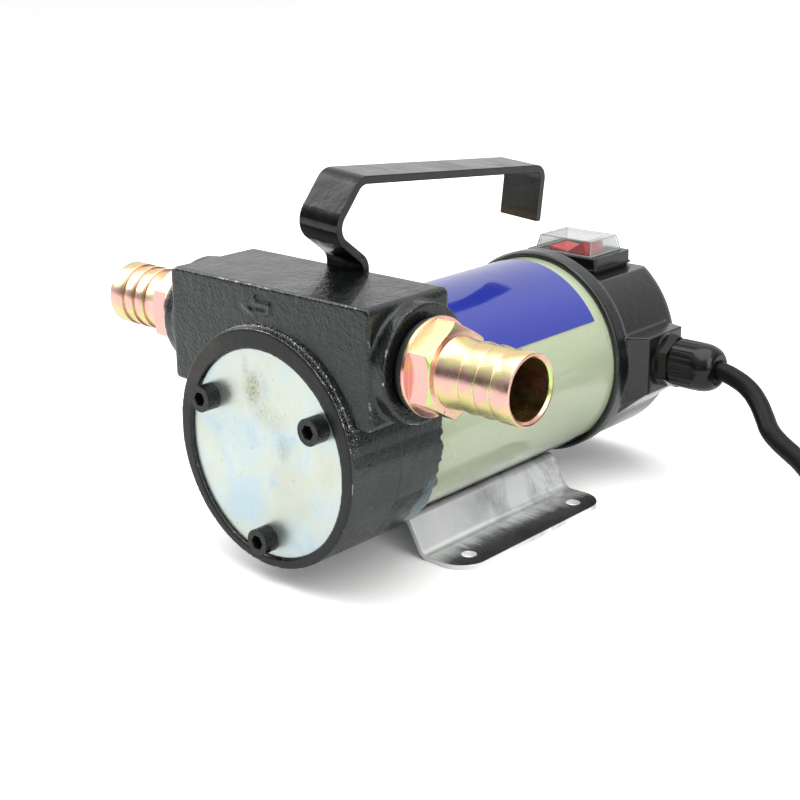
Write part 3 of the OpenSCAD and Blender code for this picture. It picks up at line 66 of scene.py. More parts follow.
back = Vector((math.sin(AZIMUTH) * math.cos(ELEVATION), -math.cos(AZIMUTH) * math.cos(ELEVATION),
               math.sin(ELEVATION)))
right = Vector((math.cos(AZIMUTH), math.sin(AZIMUTH), 0.0))
up = back.cross(right)
right_rolled = right * math.cos(ROLL) + up * math.sin(ROLL)
up_rolled = up * math.cos(ROLL) - right * math.sin(ROLL)
camera_data = bpy.data.cameras.new("camera")
camera_data.sensor_width = 36.0
camera_data.lens = 67.256
camera_data.shift_x = -0.0015
camera_data.shift_y = -0.0734
camera_data.clip_end = 20.0
camera = bpy.data.objects.new("camera", camera_data)
bpy.context.scene.collection.objects.link(camera)
axes = Matrix((right_rolled, up_rolled, back)).transposed()
camera.matrix_world = Matrix.Translation(TARGET + back * DISTANCE) @ axes.to_4x4()
bpy.context.scene.camera = camera


# ---------------------------------------------------------------- shader helpers
def new_material(name):
    material = bpy.data.materials.new(name)
    material.use_nodes = True
    tree = material.node_tree
    for node in list(tree.nodes):
        if node.type != "OUTPUT_MATERIAL":
            tree.nodes.remove(node)
    return material, tree


def output_of(tree):
    return next(n for n in tree.nodes if n.type == "OUTPUT_MATERIAL")


def node(tree, kind, **values):
    made = tree.nodes.new(kind)
    for key, value in values.items():
        made.inputs[key.replace("__", " ")].default_value = value
    return made


def principled(tree, color, roughness, metallic=0.0, **extra):
    made = tree.nodes.new("ShaderNodeBsdfPrincipled")
    made.inputs["Base Color"].default_value = (*color, 1.0)
    made.inputs["Roughness"].default_value = roughness
    made.inputs["Metallic"].default_value = metallic
    for key, value in extra.items():
        made.inputs[key.replace("__", " ")].default_value = value
    return made


def position(tree):
    return tree.nodes.new("ShaderNodeTexCoord").outputs["Object"]


def noise(tree, scale, detail=3.0, roughness=0.55, stretch=None, distortion=0.0):
    vector = position(tree)
    if stretch:
        mapping = tree.nodes.new("ShaderNodeMapping")
        mapping.inputs["Scale"].default_value = stretch
        tree.links.new(vector, mapping.inputs["Vector"])
        vector = mapping.outputs["Vector"]
    made = node(tree, "ShaderNodeTexNoise", Scale=scale, Detail=detail, Roughness=roughness,
                Distortion=distortion)
    tree.links.new(vector, made.inputs["Vector"])
    return made.outputs["Fac"]


def ramp(tree, value, stops):
    made = tree.nodes.new("ShaderNodeValToRGB")
    elements = made.color_ramp.elements
    while len(elements) < len(stops):
        elements.new(0.5)
    for element, (place, color) in zip(elements, stops):
        element.position = place
        element.color = (*color, 1.0) if len(color) == 3 else (color[0],) * 3 + (1.0,)
    tree.links.new(value, made.inputs["Fac"])
    return made.outputs["Color"]


def span(tree, value, low, high, to_low=0.0, to_high=1.0):
    made = tree.nodes.new("ShaderNodeMapRange")
    made.inputs["From Min"].default_value = low
    made.inputs["From Max"].default_value = high
    made.inputs["To Min"].default_value = to_low
    made.inputs["To Max"].default_value = to_high
    tree.links.new(value, made.inputs["Value"])
    return made.outputs["Result"]


def maths(tree, kind, a, b=None):
    made = tree.nodes.new("ShaderNodeMath")
    made.operation = kind
    for value, socket in ((a, made.inputs[0]), (b, made.inputs[1])):
        if value is None:
            continue
        if isinstance(value, (int, float)):
            socket.default_value = value
        else:
            tree.links.new(value, socket)
    return made.outputs["Value"]


def bump(tree, height, distance, strength=1.0, normal=None):
    made = tree.nodes.new("ShaderNodeBump")
    made.inputs["Distance"].default_value = distance
    made.inputs["Strength"].default_value = strength
    tree.links.new(height, made.inputs["Height"])
    if normal is not None:
        tree.links.new(normal, made.inputs["Normal"])
    return made.outputs["Normal"]


def soft_edge(tree, radius):
    made = tree.nodes.new("ShaderNodeBevel")
    made.samples = 4
    made.inputs["Radius"].default_value = radius
    return made.outputs["Normal"]


def mix_shader(tree, factor, first, second):
    made = tree.nodes.new("ShaderNodeMixShader")
    tree.links.new(factor, made.inputs["Fac"])
    tree.links.new(first, made.inputs[1])
    tree.links.new(second, made.inputs[2])
    return made.outputs["Shader"]


def mix_color(tree, factor, first, second):
    made = tree.nodes.new("ShaderNodeMix")
    made.data_type = "RGBA"
    for value, socket in ((factor, made.inputs[0]), (first, made.inputs[6]),
                          (second, made.inputs[7])):
        if isinstance(value, (tuple, float)):
            socket.default_value = (*value, 1.0) if isinstance(value, tuple) else value
        else:
            tree.links.new(value, socket)
    return made.outputs[2]


def coordinate(tree, axis):
    made = tree.nodes.new("ShaderNodeSeparateXYZ")
    tree.links.new(position(tree), made.inputs["Vector"])
    return made.outputs[axis]


def patch(tree, axes, centre, radius):
    """1 at a point of the two named axes, falling to 0 at the two radii."""
    total = None
    for axis, middle, reach in zip(axes, centre, radius):
        off = maths(tree, "DIVIDE", maths(tree, "SUBTRACT", coordinate(tree, axis), middle), reach)
        square = maths(tree, "MULTIPLY", off, off)
        total = square if total is None else maths(tree, "ADD", total, square)
    return span(tree, total, 1.0, 0.0)


def blotch(tree, axes, centre, radius, scale, low, high):
    """A patch with a ragged outline."""
    inside = patch(tree, axes, centre, radius)
    return span(tree, maths(tree, "ADD", maths(tree, "MULTIPLY", inside, 0.5),
                            noise(tree, scale, 6.0, 0.7)), low, high)


def finish_material(tree, shader):
    tree.links.new(shader, output_of(tree).inputs["Surface"])


def plain(name, color, roughness, metallic=0.0, edge=0.0003, grain=None, vary=None, **extra):
    """A material with soft edges, optional fine grain (scale, depth) and uneven roughness."""
    material, tree = new_material(name)
    bsdf = principled(tree, color, roughness, metallic, **extra)
    normal = soft_edge(tree, edge) if edge else None
    if grain:
        normal = bump(tree, noise(tree, grain[0]), grain[1], normal=normal)
    if normal is not None:
        tree.links.new(normal, bsdf.inputs["Normal"])
    if vary:
        tree.links.new(span(tree, noise(tree, vary[0]), 0.3, 0.7, vary[1], vary[2]),
                       bsdf.inputs["Roughness"])
    finish_material(tree, bsdf.outputs["BSDF"])
    return material


# ---------------------------------------------------------------- materials
CAST_BLACK = (0.0030, 0.0036, 0.0036)
TUBE_BEIGE = (0.445, 0.505, 0.345)


def chip_mask(tree, sharp_low, sharp_high, scale, low, high):
    """1 where a convex edge and a noise peak meet: sparse chips on the edges."""
    geometry = tree.nodes.new("ShaderNodeNewGeometry")
    sharp = span(tree, geometry.outputs["Pointiness"], sharp_low, sharp_high)
    peaks = span(tree, noise(tree, scale, 5.0, 0.65), low, high)
    return maths(tree, "MULTIPLY", sharp, peaks)


def cast_paint():
    material, tree = new_material("cast_paint")
    paint = principled(tree, CAST_BLACK, 0.2, Specular__IOR__Level=0.42,
                       Coat__Weight=0.35, Coat__Roughness=0.05)
    paint.inputs["Specular Tint"].default_value = (0.90, 1.0, 0.985, 1.0)
    # Thinner, drier paint low down on the round side, worn blue-grey at the flange
    low_side = maths(tree, "MULTIPLY", span(tree, coordinate(tree, "X"), 0.026, 0.040),
                     span(tree, coordinate(tree, "Z"), 0.072, 0.060))
    dry = maths(tree, "MULTIPLY", low_side, span(tree, noise(tree, 70.0, 5.0, 0.7), 0.3, 0.6))
    scraped = maths(tree, "MULTIPLY", blotch(tree, "YZ", (-0.0530, 0.025), (0.009, 0.017), 160.0,
                                             0.70, 0.90), span(tree, coordinate(tree, "X"),
                                                               0.010, 0.018))
    tone = mix_color(tree, dry, CAST_BLACK, (0.017, 0.021, 0.0215))
    tone = mix_color(tree, scraped, tone, (0.13, 0.18, 0.20))
    tree.links.new(tone, paint.inputs["Base Color"])
    rough = span(tree, noise(tree, 80.0, 4.0), 0.3, 0.7, 0.12, 0.32)
    rough = maths(tree, "ADD", rough, maths(tree, "MULTIPLY", low_side, 0.12))
    tree.links.new(rough, paint.inputs["Roughness"])
    seam = span(tree, maths(tree, "ABSOLUTE", maths(tree, "ADD", coordinate(tree, "Y"), 0.0729)),
                0.0006, 0.0)
    seam = maths(tree, "MULTIPLY", seam, span(tree, coordinate(tree, "Z"), 0.069, 0.066))
    normal = bump(tree, seam, 0.0005, 0.8)
    normal = bump(tree, noise(tree, 55.0, 2.0), 0.0020, 0.35, normal)
    normal = bump(tree, noise(tree, 260.0, 4.0, 0.65), 0.0008, 0.7, normal)
    normal = bump(tree, noise(tree, 900.0, 2.0), 0.0004, 0.8, normal)
    tree.links.new(normal, paint.inputs["Normal"])
    metal = principled(tree, (0.72, 0.72, 0.68), 0.4, 1.0)
    tree.links.new(bump(tree, noise(tree, 700.0), 0.0002, 1.0), metal.inputs["Normal"])
    chips = chip_mask(tree, 0.525, 0.565, 210.0, 0.575, 0.63)
    # Bare grains along the upper right of the ring's outer edge
    rise = maths(tree, "SUBTRACT", coordinate(tree, "Z"), AXIS_Z)
    across = coordinate(tree, "X")
    radius = maths(tree, "SQRT", maths(tree, "ADD", maths(tree, "MULTIPLY", rise, rise),
                                       maths(tree, "MULTIPLY", across, across)))
    ring = maths(tree, "MULTIPLY", span(tree, radius, 0.0432, 0.0446),
                 span(tree, radius, 0.0472, 0.0460))
    ring = maths(tree, "MULTIPLY", ring, span(tree, maths(tree, "ADD", rise, across),
                                              0.028, 0.046))
    ring = maths(tree, "MULTIPLY", ring, span(tree, coordinate(tree, "Y"), -0.0915, -0.0930))
    ring = maths(tree, "MULTIPLY", ring, span(tree, rise, 0.004, 0.012))
    grains = maths(tree, "MULTIPLY", ring, span(tree, noise(tree, 1700.0, 2.0, 0.6), 0.61, 0.67))
    shader = mix_shader(tree, maths(tree, "MAXIMUM", chips, grains), paint.outputs["BSDF"],
                        metal.outputs["BSDF"])
    # Machined front face: dark satin with a faint brown rub at the upper left
    worn = principled(tree, (0.010, 0.010, 0.010), 0.36, 0.0, Specular__IOR__Level=0.35)
    rub = blotch(tree, "XZ", (-0.032, 0.080), (0.030, 0.024), 90.0, 0.62, 1.15)
    tree.links.new(mix_color(tree, rub, (0.0065, 0.0070, 0.0070), (0.040, 0.034, 0.026)),
                   worn.inputs["Base Color"])
    tree.links.new(bump(tree, noise(tree, 300.0, 4.0), 0.0003, 0.6), worn.inputs["Normal"])
    front = span(tree, coordinate(tree, "Y"), -0.09765, -0.09785)
    shader = mix_shader(tree, front, shader, worn.outputs["BSDF"])
    finish_material(tree, shader)
    return material


def white_zinc():
    """Bluish plating with olive smudges below the middle top and a bluer lower left."""
    material, tree = new_material("white_zinc")
    bsdf = principled(tree, (0.55, 0.62, 0.64), 0.3, 0.88)
    clouds = noise(tree, 42.0, 7.0, 0.7, distortion=0.9)
    tone = ramp(tree, clouds, [(0.30, (0.45, 0.60, 0.68)), (0.44, (0.59, 0.68, 0.68)),
                               (0.56, (0.64, 0.69, 0.62)), (0.70, (0.62, 0.63, 0.49))])
    blue = blotch(tree, "XZ", (-0.013, 0.028), (0.017, 0.014), 60.0, 0.55, 1.0)
    tone = mix_color(tree, maths(tree, "MULTIPLY", blue, 0.7), tone, (0.47, 0.63, 0.74))
    warm = blotch(tree, "XZ", (0.014, 0.040), (0.014, 0.020), 50.0, 0.62, 1.05)
    tone = mix_color(tree, maths(tree, "MULTIPLY", warm, 0.6), tone, (0.60, 0.60, 0.45))
    for centre, reach, depth in (((-0.0055, 0.0740), (0.0042, 0.0072), 1.0),
                                 ((-0.0035, 0.0725), (0.0085, 0.0110), 0.40),
                                 ((0.0045, 0.0640), (0.0100, 0.0060), 0.38),
                                 ((0.0095, 0.0540), (0.0040, 0.0065), 0.45),
                                 ((-0.0090, 0.0815), (0.0022, 0.0050), 0.45)):
        inside = patch(tree, "XZ", centre, reach)
        grain = span(tree, noise(tree, 900.0, 5.0, 0.75), 0.40, 0.66, 0.12, 1.0)
        smear = maths(tree, "MULTIPLY", maths(tree, "MULTIPLY", inside, grain), depth)
        tone = mix_color(tree, smear, tone, (0.22, 0.20, 0.11))
    specks = span(tree, noise(tree, 420.0, 2.0), 0.70, 0.76, 0.0, 0.55)
    tone = mix_color(tree, specks, tone, (0.28, 0.30, 0.30))
    tree.links.new(tone, bsdf.inputs["Base Color"])
    tree.links.new(span(tree, noise(tree, 60.0, 5.0, 0.7), 0.3, 0.7, 0.26, 0.42),
                   bsdf.inputs["Roughness"])
    normal = bump(tree, noise(tree, 900.0, 2.0, stretch=(1.0, 1.0, 0.12)), 0.00004, 0.6,
                  soft_edge(tree, 0.0005))
    tree.links.new(normal, bsdf.inputs["Normal"])
    finish_material(tree, bsdf.outputs["BSDF"])
    return material


def yellow_zinc():
    """Yellow plating coloured by which way the surface faces: plating colours, with a painted
    highlight on upward faces and painted shade on downward faces.
    """
    material, tree = new_material("yellow_zinc")
    bsdf = principled(tree, (0.8, 0.62, 0.36), 0.22, 1.0)
    geometry = tree.nodes.new("ShaderNodeNewGeometry")
    split = tree.nodes.new("ShaderNodeSeparateXYZ")
    tree.links.new(geometry.outputs["Normal"], split.inputs["Vector"])
    drift = span(tree, noise(tree, 85.0, 4.0, 0.55, distortion=1.2), 0.3, 0.7, -0.13, 0.13)
    facing = maths(tree, "ADD", span(tree, split.outputs["Z"], -1.0, 1.0), drift)
    # Painted light by facing: the brown low end is painted shade on downward faces, the yellow
    # high end a painted highlight on upward faces
    film_and_painted_light = ramp(tree, facing, [(0.0, (0.62, 0.42, 0.20)), (0.20, (0.62, 0.62, 0.24)),
                               (0.32, (0.80, 0.60, 0.30)), (0.44, (0.82, 0.48, 0.42)),
                               (0.57, (0.84, 0.47, 0.43)), (0.68, (0.90, 0.60, 0.46)),
                               (0.78, (0.80, 0.76, 0.38)), (0.90, (0.94, 0.72, 0.40)),
                               (1.0, (0.90, 0.72, 0.36))])
    across = maths(tree, "ABSOLUTE", split.outputs["X"])
    bevel = maths(tree, "MULTIPLY", span(tree, across, 0.35, 0.5), span(tree, across, 0.97, 0.9))
    rim = ramp(tree, facing, [(0.25, (0.88, 0.45, 0.42)), (0.42, (0.40, 0.85, 0.16)),
                              (0.62, (0.55, 0.90, 0.20)), (0.78, (0.93, 0.45, 0.40))])
    bevel = maths(tree, "MULTIPLY", bevel, 0.8)
    tree.links.new(mix_color(tree, bevel, film_and_painted_light, rim), bsdf.inputs["Base Color"])
    tree.links.new(span(tree, noise(tree, 140.0, 4.0), 0.3, 0.7, 0.18, 0.32),
                   bsdf.inputs["Roughness"])
    normal = bump(tree, noise(tree, 500.0, 2.0, stretch=(4.0, 1.0, 1.0)), 0.00006, 0.6,
                  soft_edge(tree, 0.0002))
    tree.links.new(normal, bsdf.inputs["Normal"])
    finish_material(tree, bsdf.outputs["BSDF"])
    return material


def clear_plastic(name, tint, sheen_share, haze_and_highlight_share):
    """Clear moulding: light passes straight through, with a sheen and a whitish share mixed in:
    slight haze at a small share, a painted highlight at a large one.
    """
    material, tree = new_material(name)
    clear = tree.nodes.new("ShaderNodeBsdfTransparent")
    clear.inputs["Color"].default_value = (*tint, 1.0)
    gloss = node(tree, "ShaderNodeBsdfGlossy", Roughness=0.06)
    gloss.inputs["Color"].default_value = (1.0, 1.0, 1.0, 1.0)
    sheen = tree.nodes.new("ShaderNodeFresnel")
    sheen.inputs["IOR"].default_value = 1.4
    amount = maths(tree, "MULTIPLY", sheen.outputs["Fac"], sheen_share)
    wall = mix_shader(tree, amount, clear.outputs["BSDF"], gloss.outputs["BSDF"])
    haze_and_highlight = principled(tree, (0.80, 0.83, 0.82), 0.25)
    made = tree.nodes.new("ShaderNodeMixShader")
    made.inputs["Fac"].default_value = haze_and_highlight_share
    tree.links.new(wall, made.inputs[1])
    tree.links.new(haze_and_highlight.outputs["BSDF"], made.inputs[2])
    finish_material(tree, made.outputs["Shader"])
    return material


def red_plastic_with_painted_glow():
    material, tree = new_material("red_rocker")
    # The faint red emission is a painted glow, not a lamp
    bsdf = principled(tree, (0.60, 0.006, 0.010), 0.2, 0.0, Emission__Strength=0.10)
    bsdf.inputs["Emission Color"].default_value = (0.9, 0.02, 0.03, 1.0)
    tree.links.new(soft_edge(tree, 0.0006), bsdf.inputs["Normal"])
    finish_material(tree, bsdf.outputs["BSDF"])
    return material


def bright_steel():
    """Polished plating with brushed streaks: the uprights carry painted reflections as dark clouds
    in their colour, and the feet turn into a dark mirror towards their rims, a painted dark
    reflection.
    """
    material, tree = new_material("bright_steel")
    satin = principled(tree, (0.86, 0.87, 0.88), 0.16, 0.5)
    # Painted reflection: dark clouds in the uprights' colour, heavier towards the rear
    shade = span(tree, noise(tree, 60.0, 5.0, 0.7, stretch=(1.0, 1.0, 0.35), distortion=0.6),
                 0.45, 0.72, 0.0, 0.9)
    shade = maths(tree, "MULTIPLY", shade, span(tree, coordinate(tree, "Y"), -0.025, 0.015,
                                                0.15, 1.0))
    tree.links.new(mix_color(tree, shade, (0.97, 0.98, 0.99), (0.30, 0.31, 0.32)),
                   satin.inputs["Base Color"])
    # Near-black mirror: painted dark reflection on the feet
    painted_dark_mirror = principled(tree, (0.10, 0.101, 0.103), 0.12, 1.0)
    outward = maths(tree, "ABSOLUTE", coordinate(tree, "X"))
    streaks = span(tree, noise(tree, 800.0, 4.0, 0.7, stretch=(0.06, 1.0, 0.3)), 0.3, 0.7,
                   -0.0026, 0.0026)
    clouds = span(tree, noise(tree, 34.0, 3.0), 0.3, 0.7, -0.0030, 0.0030)
    place = maths(tree, "ADD", maths(tree, "ADD", outward, streaks), clouds)
    geometry = tree.nodes.new("ShaderNodeNewGeometry")
    split = tree.nodes.new("ShaderNodeSeparateXYZ")
    tree.links.new(geometry.outputs["True Normal"], split.inputs["Vector"])
    flat = span(tree, split.outputs["Z"], 0.80, 0.97)
    # Painted dark reflection: flat faces turn into the dark mirror further out along the feet
    painted_dark_reflection = maths(tree, "MULTIPLY", flat, ramp(tree, span(tree, place, 0.030, 0.056), [
        (0.05, (0.12,)), (0.30, (0.35,)), (0.50, (0.86,)), (0.80, (0.95,))]))
    normal = bump(tree, noise(tree, 420.0, 2.0, stretch=(0.08, 1.0, 0.3)), 0.00005, 0.7,
                  soft_edge(tree, 0.0005))
    for shader in (satin, painted_dark_mirror):
        tree.links.new(normal, shader.inputs["Normal"])
    finish_material(tree, mix_shader(tree, painted_dark_reflection, satin.outputs["BSDF"], painted_dark_mirror.outputs["BSDF"]))
    return material


def beige_paint():
    """Tube paint, with the pump's black paint run over its front edge here and there, and a
    painted shadow low down beside the saddle's edges.
    """
    material, tree = new_material("beige_paint")
    paint = principled(tree, TUBE_BEIGE, 0.22, Coat__Weight=0.5, Coat__Roughness=0.07)
    tree.links.new(span(tree, noise(tree, 40.0, 4.0), 0.3, 0.7, 0.16, 0.3),
                   paint.inputs["Roughness"])
    tree.links.new(bump(tree, noise(tree, 120.0, 3.0), 0.0001, 0.5), paint.inputs["Normal"])
    # Painted shadow: a dark band low on the tube beside the saddle's edges, where the saddle
    # shades it
    painted_contact_shadow = maths(tree, "MULTIPLY", span(tree, coordinate(tree, "Z"), 0.0225, 0.0195),
                  span(tree, maths(tree, "ABSOLUTE", coordinate(tree, "X")), 0.015, 0.018))
    tree.links.new(mix_color(tree, painted_contact_shadow, TUBE_BEIGE, (0.035, 0.04, 0.03)),
                   paint.inputs["Base Color"])
    black = principled(tree, (0.0045, 0.0048, 0.005), 0.28)
    ragged = maths(tree, "ADD", coordinate(tree, "Y"),
                   span(tree, noise(tree, 210.0, 5.0, 0.7), 0.3, 0.8, 0.0, -0.0026))
    over = span(tree, ragged, -0.04905, -0.0492)
    finish_material(tree, mix_shader(tree, over, paint.outputs["BSDF"], black.outputs["BSDF"]))
    return material


MATERIALS = {
    "black_cast_paint": cast_paint(),
    "white_zinc": white_zinc(),
    "yellow_zinc": yellow_zinc(),
    "clear_boot": clear_plastic("clear_boot", (0.95, 0.965, 0.96), 0.7, 0.06),
    "red_rocker": red_plastic_with_painted_glow(),
    "bright_steel": bright_steel(),
    "black_rubber": plain("black_rubber", (0.012, 0.012, 0.012), 0.55, grain=(900.0, 0.0001)),
    "black_oxide_steel": plain("black_oxide_steel", (0.012, 0.012, 0.0125), 0.26, 0.3,
                               grain=(900.0, 0.00025), vary=(500.0, 0.14, 0.4)),
    "machined_steel": plain("machined_steel", (0.5, 0.51, 0.52), 0.28, 1.0),
    "vane_composite": plain("vane_composite", (0.05, 0.035, 0.022), 0.5),
    "brass": plain("brass", (0.75, 0.54, 0.24), 0.28, 1.0),
    "spring_steel": plain("spring_steel", (0.55, 0.56, 0.57), 0.25, 1.0, edge=0.0),
    "plain_steel": plain("plain_steel", (0.45, 0.46, 0.47), 0.34, 1.0),
    "beige_paint": beige_paint(),
    "bearing_steel": plain("bearing_steel", (0.6, 0.61, 0.62), 0.18, 1.0),
    "core_steel": plain("core_steel", (0.3, 0.31, 0.32), 0.42, 1.0),
    "winding_copper": plain("winding_copper", (0.45, 0.17, 0.06), 0.36, 0.9,
                            grain=(900.0, 0.0004)),
    "commutator_copper": plain("commutator_copper", (0.72, 0.36, 0.2), 0.3, 1.0),
    "brown_resin": plain("brown_resin", (0.11, 0.045, 0.02), 0.42),
    "ferrite": plain("ferrite", (0.05, 0.05, 0.055), 0.5, 0.2),
    "cast_aluminium": plain("cast_aluminium", (0.58, 0.59, 0.6), 0.4, 1.0,
                            grain=(500.0, 0.0003)),
    "carbon": plain("carbon", (0.02, 0.02, 0.021), 0.6),
    "black_resin": plain("black_resin", (0.014, 0.014, 0.014), 0.5),
    "blue_label": plain("blue_label", (0.026, 0.040, 0.34), 0.14, edge=0.0,
                        grain=(110.0, 0.00016), Coat__Weight=0.6, Coat__Roughness=0.05),
    "black_plastic": plain("black_plastic", (0.0052, 0.0060, 0.0066), 0.26, edge=0.0008,
                           grain=(260.0, 0.0002), vary=(60.0, 0.18, 0.34),
                           Coat__Weight=0.35, Coat__Roughness=0.08),
    "switch_black": plain("switch_black", (0.007, 0.0075, 0.008), 0.22, edge=0.0005),
    "cord_black": plain("cord_black", (0.0045, 0.005, 0.0055), 0.32, edge=0.0,
                        grain=(500.0, 0.0001), Specular__IOR__Level=0.16),
    "plug_black": plain("plug_black", (0.014, 0.014, 0.0145), 0.45, edge=0.001,
                        grain=(700.0, 0.0001)),
    "pin_nickel": plain("pin_nickel", (0.74, 0.72, 0.68), 0.16, 1.0),
    "handle_paint": plain("handle_paint", (0.003, 0.0034, 0.0034), 0.16, edge=0.0008,
                          grain=(110.0, 0.0003), vary=(60.0, 0.1, 0.26),
                          Specular__IOR__Level=0.36, Coat__Weight=0.15, Coat__Roughness=0.05),
}
# Whitish, hazy edge bars: painted highlights along the boot's edges
BOOT_EDGE_HIGHLIGHT = clear_plastic("clear_boot_painted_edge_highlight", (0.72, 0.76, 0.74), 1.0, 0.45)
GLAND_BLACK = plain("gland_black", (0.0035, 0.004, 0.0045), 0.2, edge=0.0005,
                    Specular__IOR__Level=0.3, Coat__Weight=0.2, Coat__Roughness=0.05)
OWN_LOOKS = {"gland_body": GLAND_BLACK, "gland_dome_nut": GLAND_BLACK}
slot_of = {s["node"]: s["material_slot"] for s in frame["record"]["subparts"]}
for name, cad in nodes.items():
    material = OWN_LOOKS.get(name, MATERIALS[slot_of[name]])
    if not cad.material_slots:
        cad.data.materials.append(material)
    for place in cad.material_slots:
        place.material = material


# ---------------------------------------------------------------- own pieces
# The flange's rear rim, in metres: its place, radii, and how far and deep it is ragged
RIM_Y = -0.0489
RIM_INNER = 0.0424
RIM_OUTER = 0.045
RIM_REACH = 0.0045
RIM_TOP = 0.072
RIM_FADE = 0.008
RIM_DEPTH = 0.0030


def ragged_rim(mesh):
    """The flange's rear rim as cast: its edge draws back unevenly from the tube."""
    for vertex in mesh.vertices:
        place = vertex.co
        out = math.hypot(place.x, place.z - AXIS_Z)
        if place.y < RIM_Y - RIM_REACH or out < RIM_INNER or place.z > RIM_TOP:
            continue
        angle = math.atan2(place.x, place.z - AXIS_Z)
        around = Vector((math.cos(angle), math.sin(angle), 0.0))
        uneven = (0.40 + 0.8 * noise_at(around * 4.0) + 1.0 * noise_at(around * 13.0)
                  + 0.45 * noise_at(around * 41.0))
        fade = min(1.0, (RIM_TOP - place.z) / RIM_FADE)
        share = (min(1.0, (place.y - RIM_Y + RIM_REACH) / RIM_REACH)
                 * min(1.0, (out - RIM_INNER) / (RIM_OUTER - RIM_INNER)))
        place.y -= max(0.0, uneven) * RIM_DEPTH * share * fade


def polar_mesh(name, rings, segments, centre_y, centre_z, side):
    """A closed skin of rings (x, radius by angle) about a line along X, in millimetres."""
    bm = bmesh.new()
    loops = []
    for x, radius in rings:
        loop = []
        for k in range(segments):
            angle = 2 * math.pi * k / segments
            r = radius(angle) if callable(radius) else radius
            loop.append(bm.verts.new((side * x * MM, centre_y + r * math.sin(angle) * MM,
                                      centre_z + r * math.cos(angle) * MM)))
        loops.append(loop)
    for one, two in zip(loops, loops[1:] + loops[:1]):
        for k in range(segments):
            following = (k + 1) % segments
            corners = (one[k], one[following], two[following], two[k])
            bm.faces.new(corners if side > 0 else corners[::-1])
    bmesh.ops.recalc_face_normals(bm, faces=bm.faces)
    mesh = bpy.data.meshes.new(name)
    bm.to_mesh(mesh)
    bm.free()
    for face in mesh.polygons:
        face.use_smooth = True
    mesh.set_sharp_from_angle(angle=SHARP_ANGLE)
    made = bpy.data.objects.new(name, mesh)
    bpy.context.scene.collection.objects.link(made)
    return made


SHARP_ANGLE = math.radians(32)  # edges of a turned piece that stay sharp

# Hose tail, in millimetres: radii, then lengths from the tip back to the thread's end
HEX_FLAT_R = 15.0
HEX_CORNER_R = HEX_FLAT_R / math.cos(math.pi / 6)
CREST_R = 12.5
ROOT_R = 11.8
BORE_R = 10.6
THREAD_R = 12.9
COLLAR_R = 17.7
TIP_LEN = 7.8
BARB_LEN = 6.5
NECK_LEN = 9.8
HEX_LEN = 8.9
COLLAR_LEN = 1.8
THREAD_LEN = 18.6
CHAMFER = 1.4
CHAMFER_STEPS = 8
TAIL_SEGMENTS = 144


def hexagon(limit):
    """Radius by angle of a hexagon with its corners turned down to the limit."""
    def radius(angle):
        off = angle % (math.pi / 3) - math.pi / 6
        return min(HEX_FLAT_R / math.cos(off), limit)
    return radius


def hose_tail(node_name, side):
    """Turned tail: thread, collar, chamfered hexagon, three barbs and a plain tip."""
    low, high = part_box(node_name)
    centre_y = (low[1] + high[1]) / 2
    centre_z = (low[2] + high[2]) / 2
    tip = max(abs(low[0]), abs(high[0])) / MM
    last_barb = tip - TIP_LEN
    middle_barb = last_barb - BARB_LEN
    first_barb = middle_barb - BARB_LEN
    hex_end = first_barb - NECK_LEN
    hex_x = hex_end - HEX_LEN
    collar_x = hex_x - COLLAR_LEN
    start = collar_x - THREAD_LEN
    # Beyond the named sizes, the numbers below are edge breaks of under a millimetre
    rings = [(start, THREAD_R - 0.5), (start + 0.5, THREAD_R), (collar_x, THREAD_R),
             (collar_x, COLLAR_R - 0.4), (collar_x + 0.15, COLLAR_R - 0.1),
             (collar_x + 0.4, COLLAR_R), (hex_x - 0.4, COLLAR_R), (hex_x - 0.1, COLLAR_R - 0.15),
             (hex_x, hexagon(HEX_CORNER_R - 0.05)), (hex_end - CHAMFER, hexagon(HEX_CORNER_R))]
    for k in range(1, CHAMFER_STEPS + 1):
        share = k / CHAMFER_STEPS
        rings.append((hex_end - CHAMFER * (1 - share),
                      hexagon(HEX_CORNER_R - share * (HEX_CORNER_R - HEX_FLAT_R + 0.25))))
    rings += [(hex_end, CREST_R + 0.6), (hex_end + 0.15, CREST_R + 0.2),
              (hex_end + 0.5, CREST_R)]
    for barb in (first_barb, middle_barb, last_barb):
        rings += [(barb - 0.75, ROOT_R + 0.07), (barb - 0.3, ROOT_R - 0.3), (barb, ROOT_R - 0.3),
                  (barb + 0.02, CREST_R - 0.42), (barb + 0.12, CREST_R - 0.16),
                  (barb + 0.3, CREST_R - 0.03), (barb + 0.55, CREST_R)]
    rings += [(tip - 0.45, CREST_R), (tip - 0.12, CREST_R - 0.14), (tip, CREST_R - 0.4),
              (tip, BORE_R + 0.8), (tip - 0.15, BORE_R + 0.62), (tip - 0.8, BORE_R),
              (tip - 12.0, BORE_R), (start, BORE_R)]
    made = polar_mesh(node_name + "_turned", rings, TAIL_SEGMENTS, centre_y, centre_z, side)
    made.data.materials.append(MATERIALS["yellow_zinc"])
    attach(made, "pump_body")
    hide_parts(node_name)


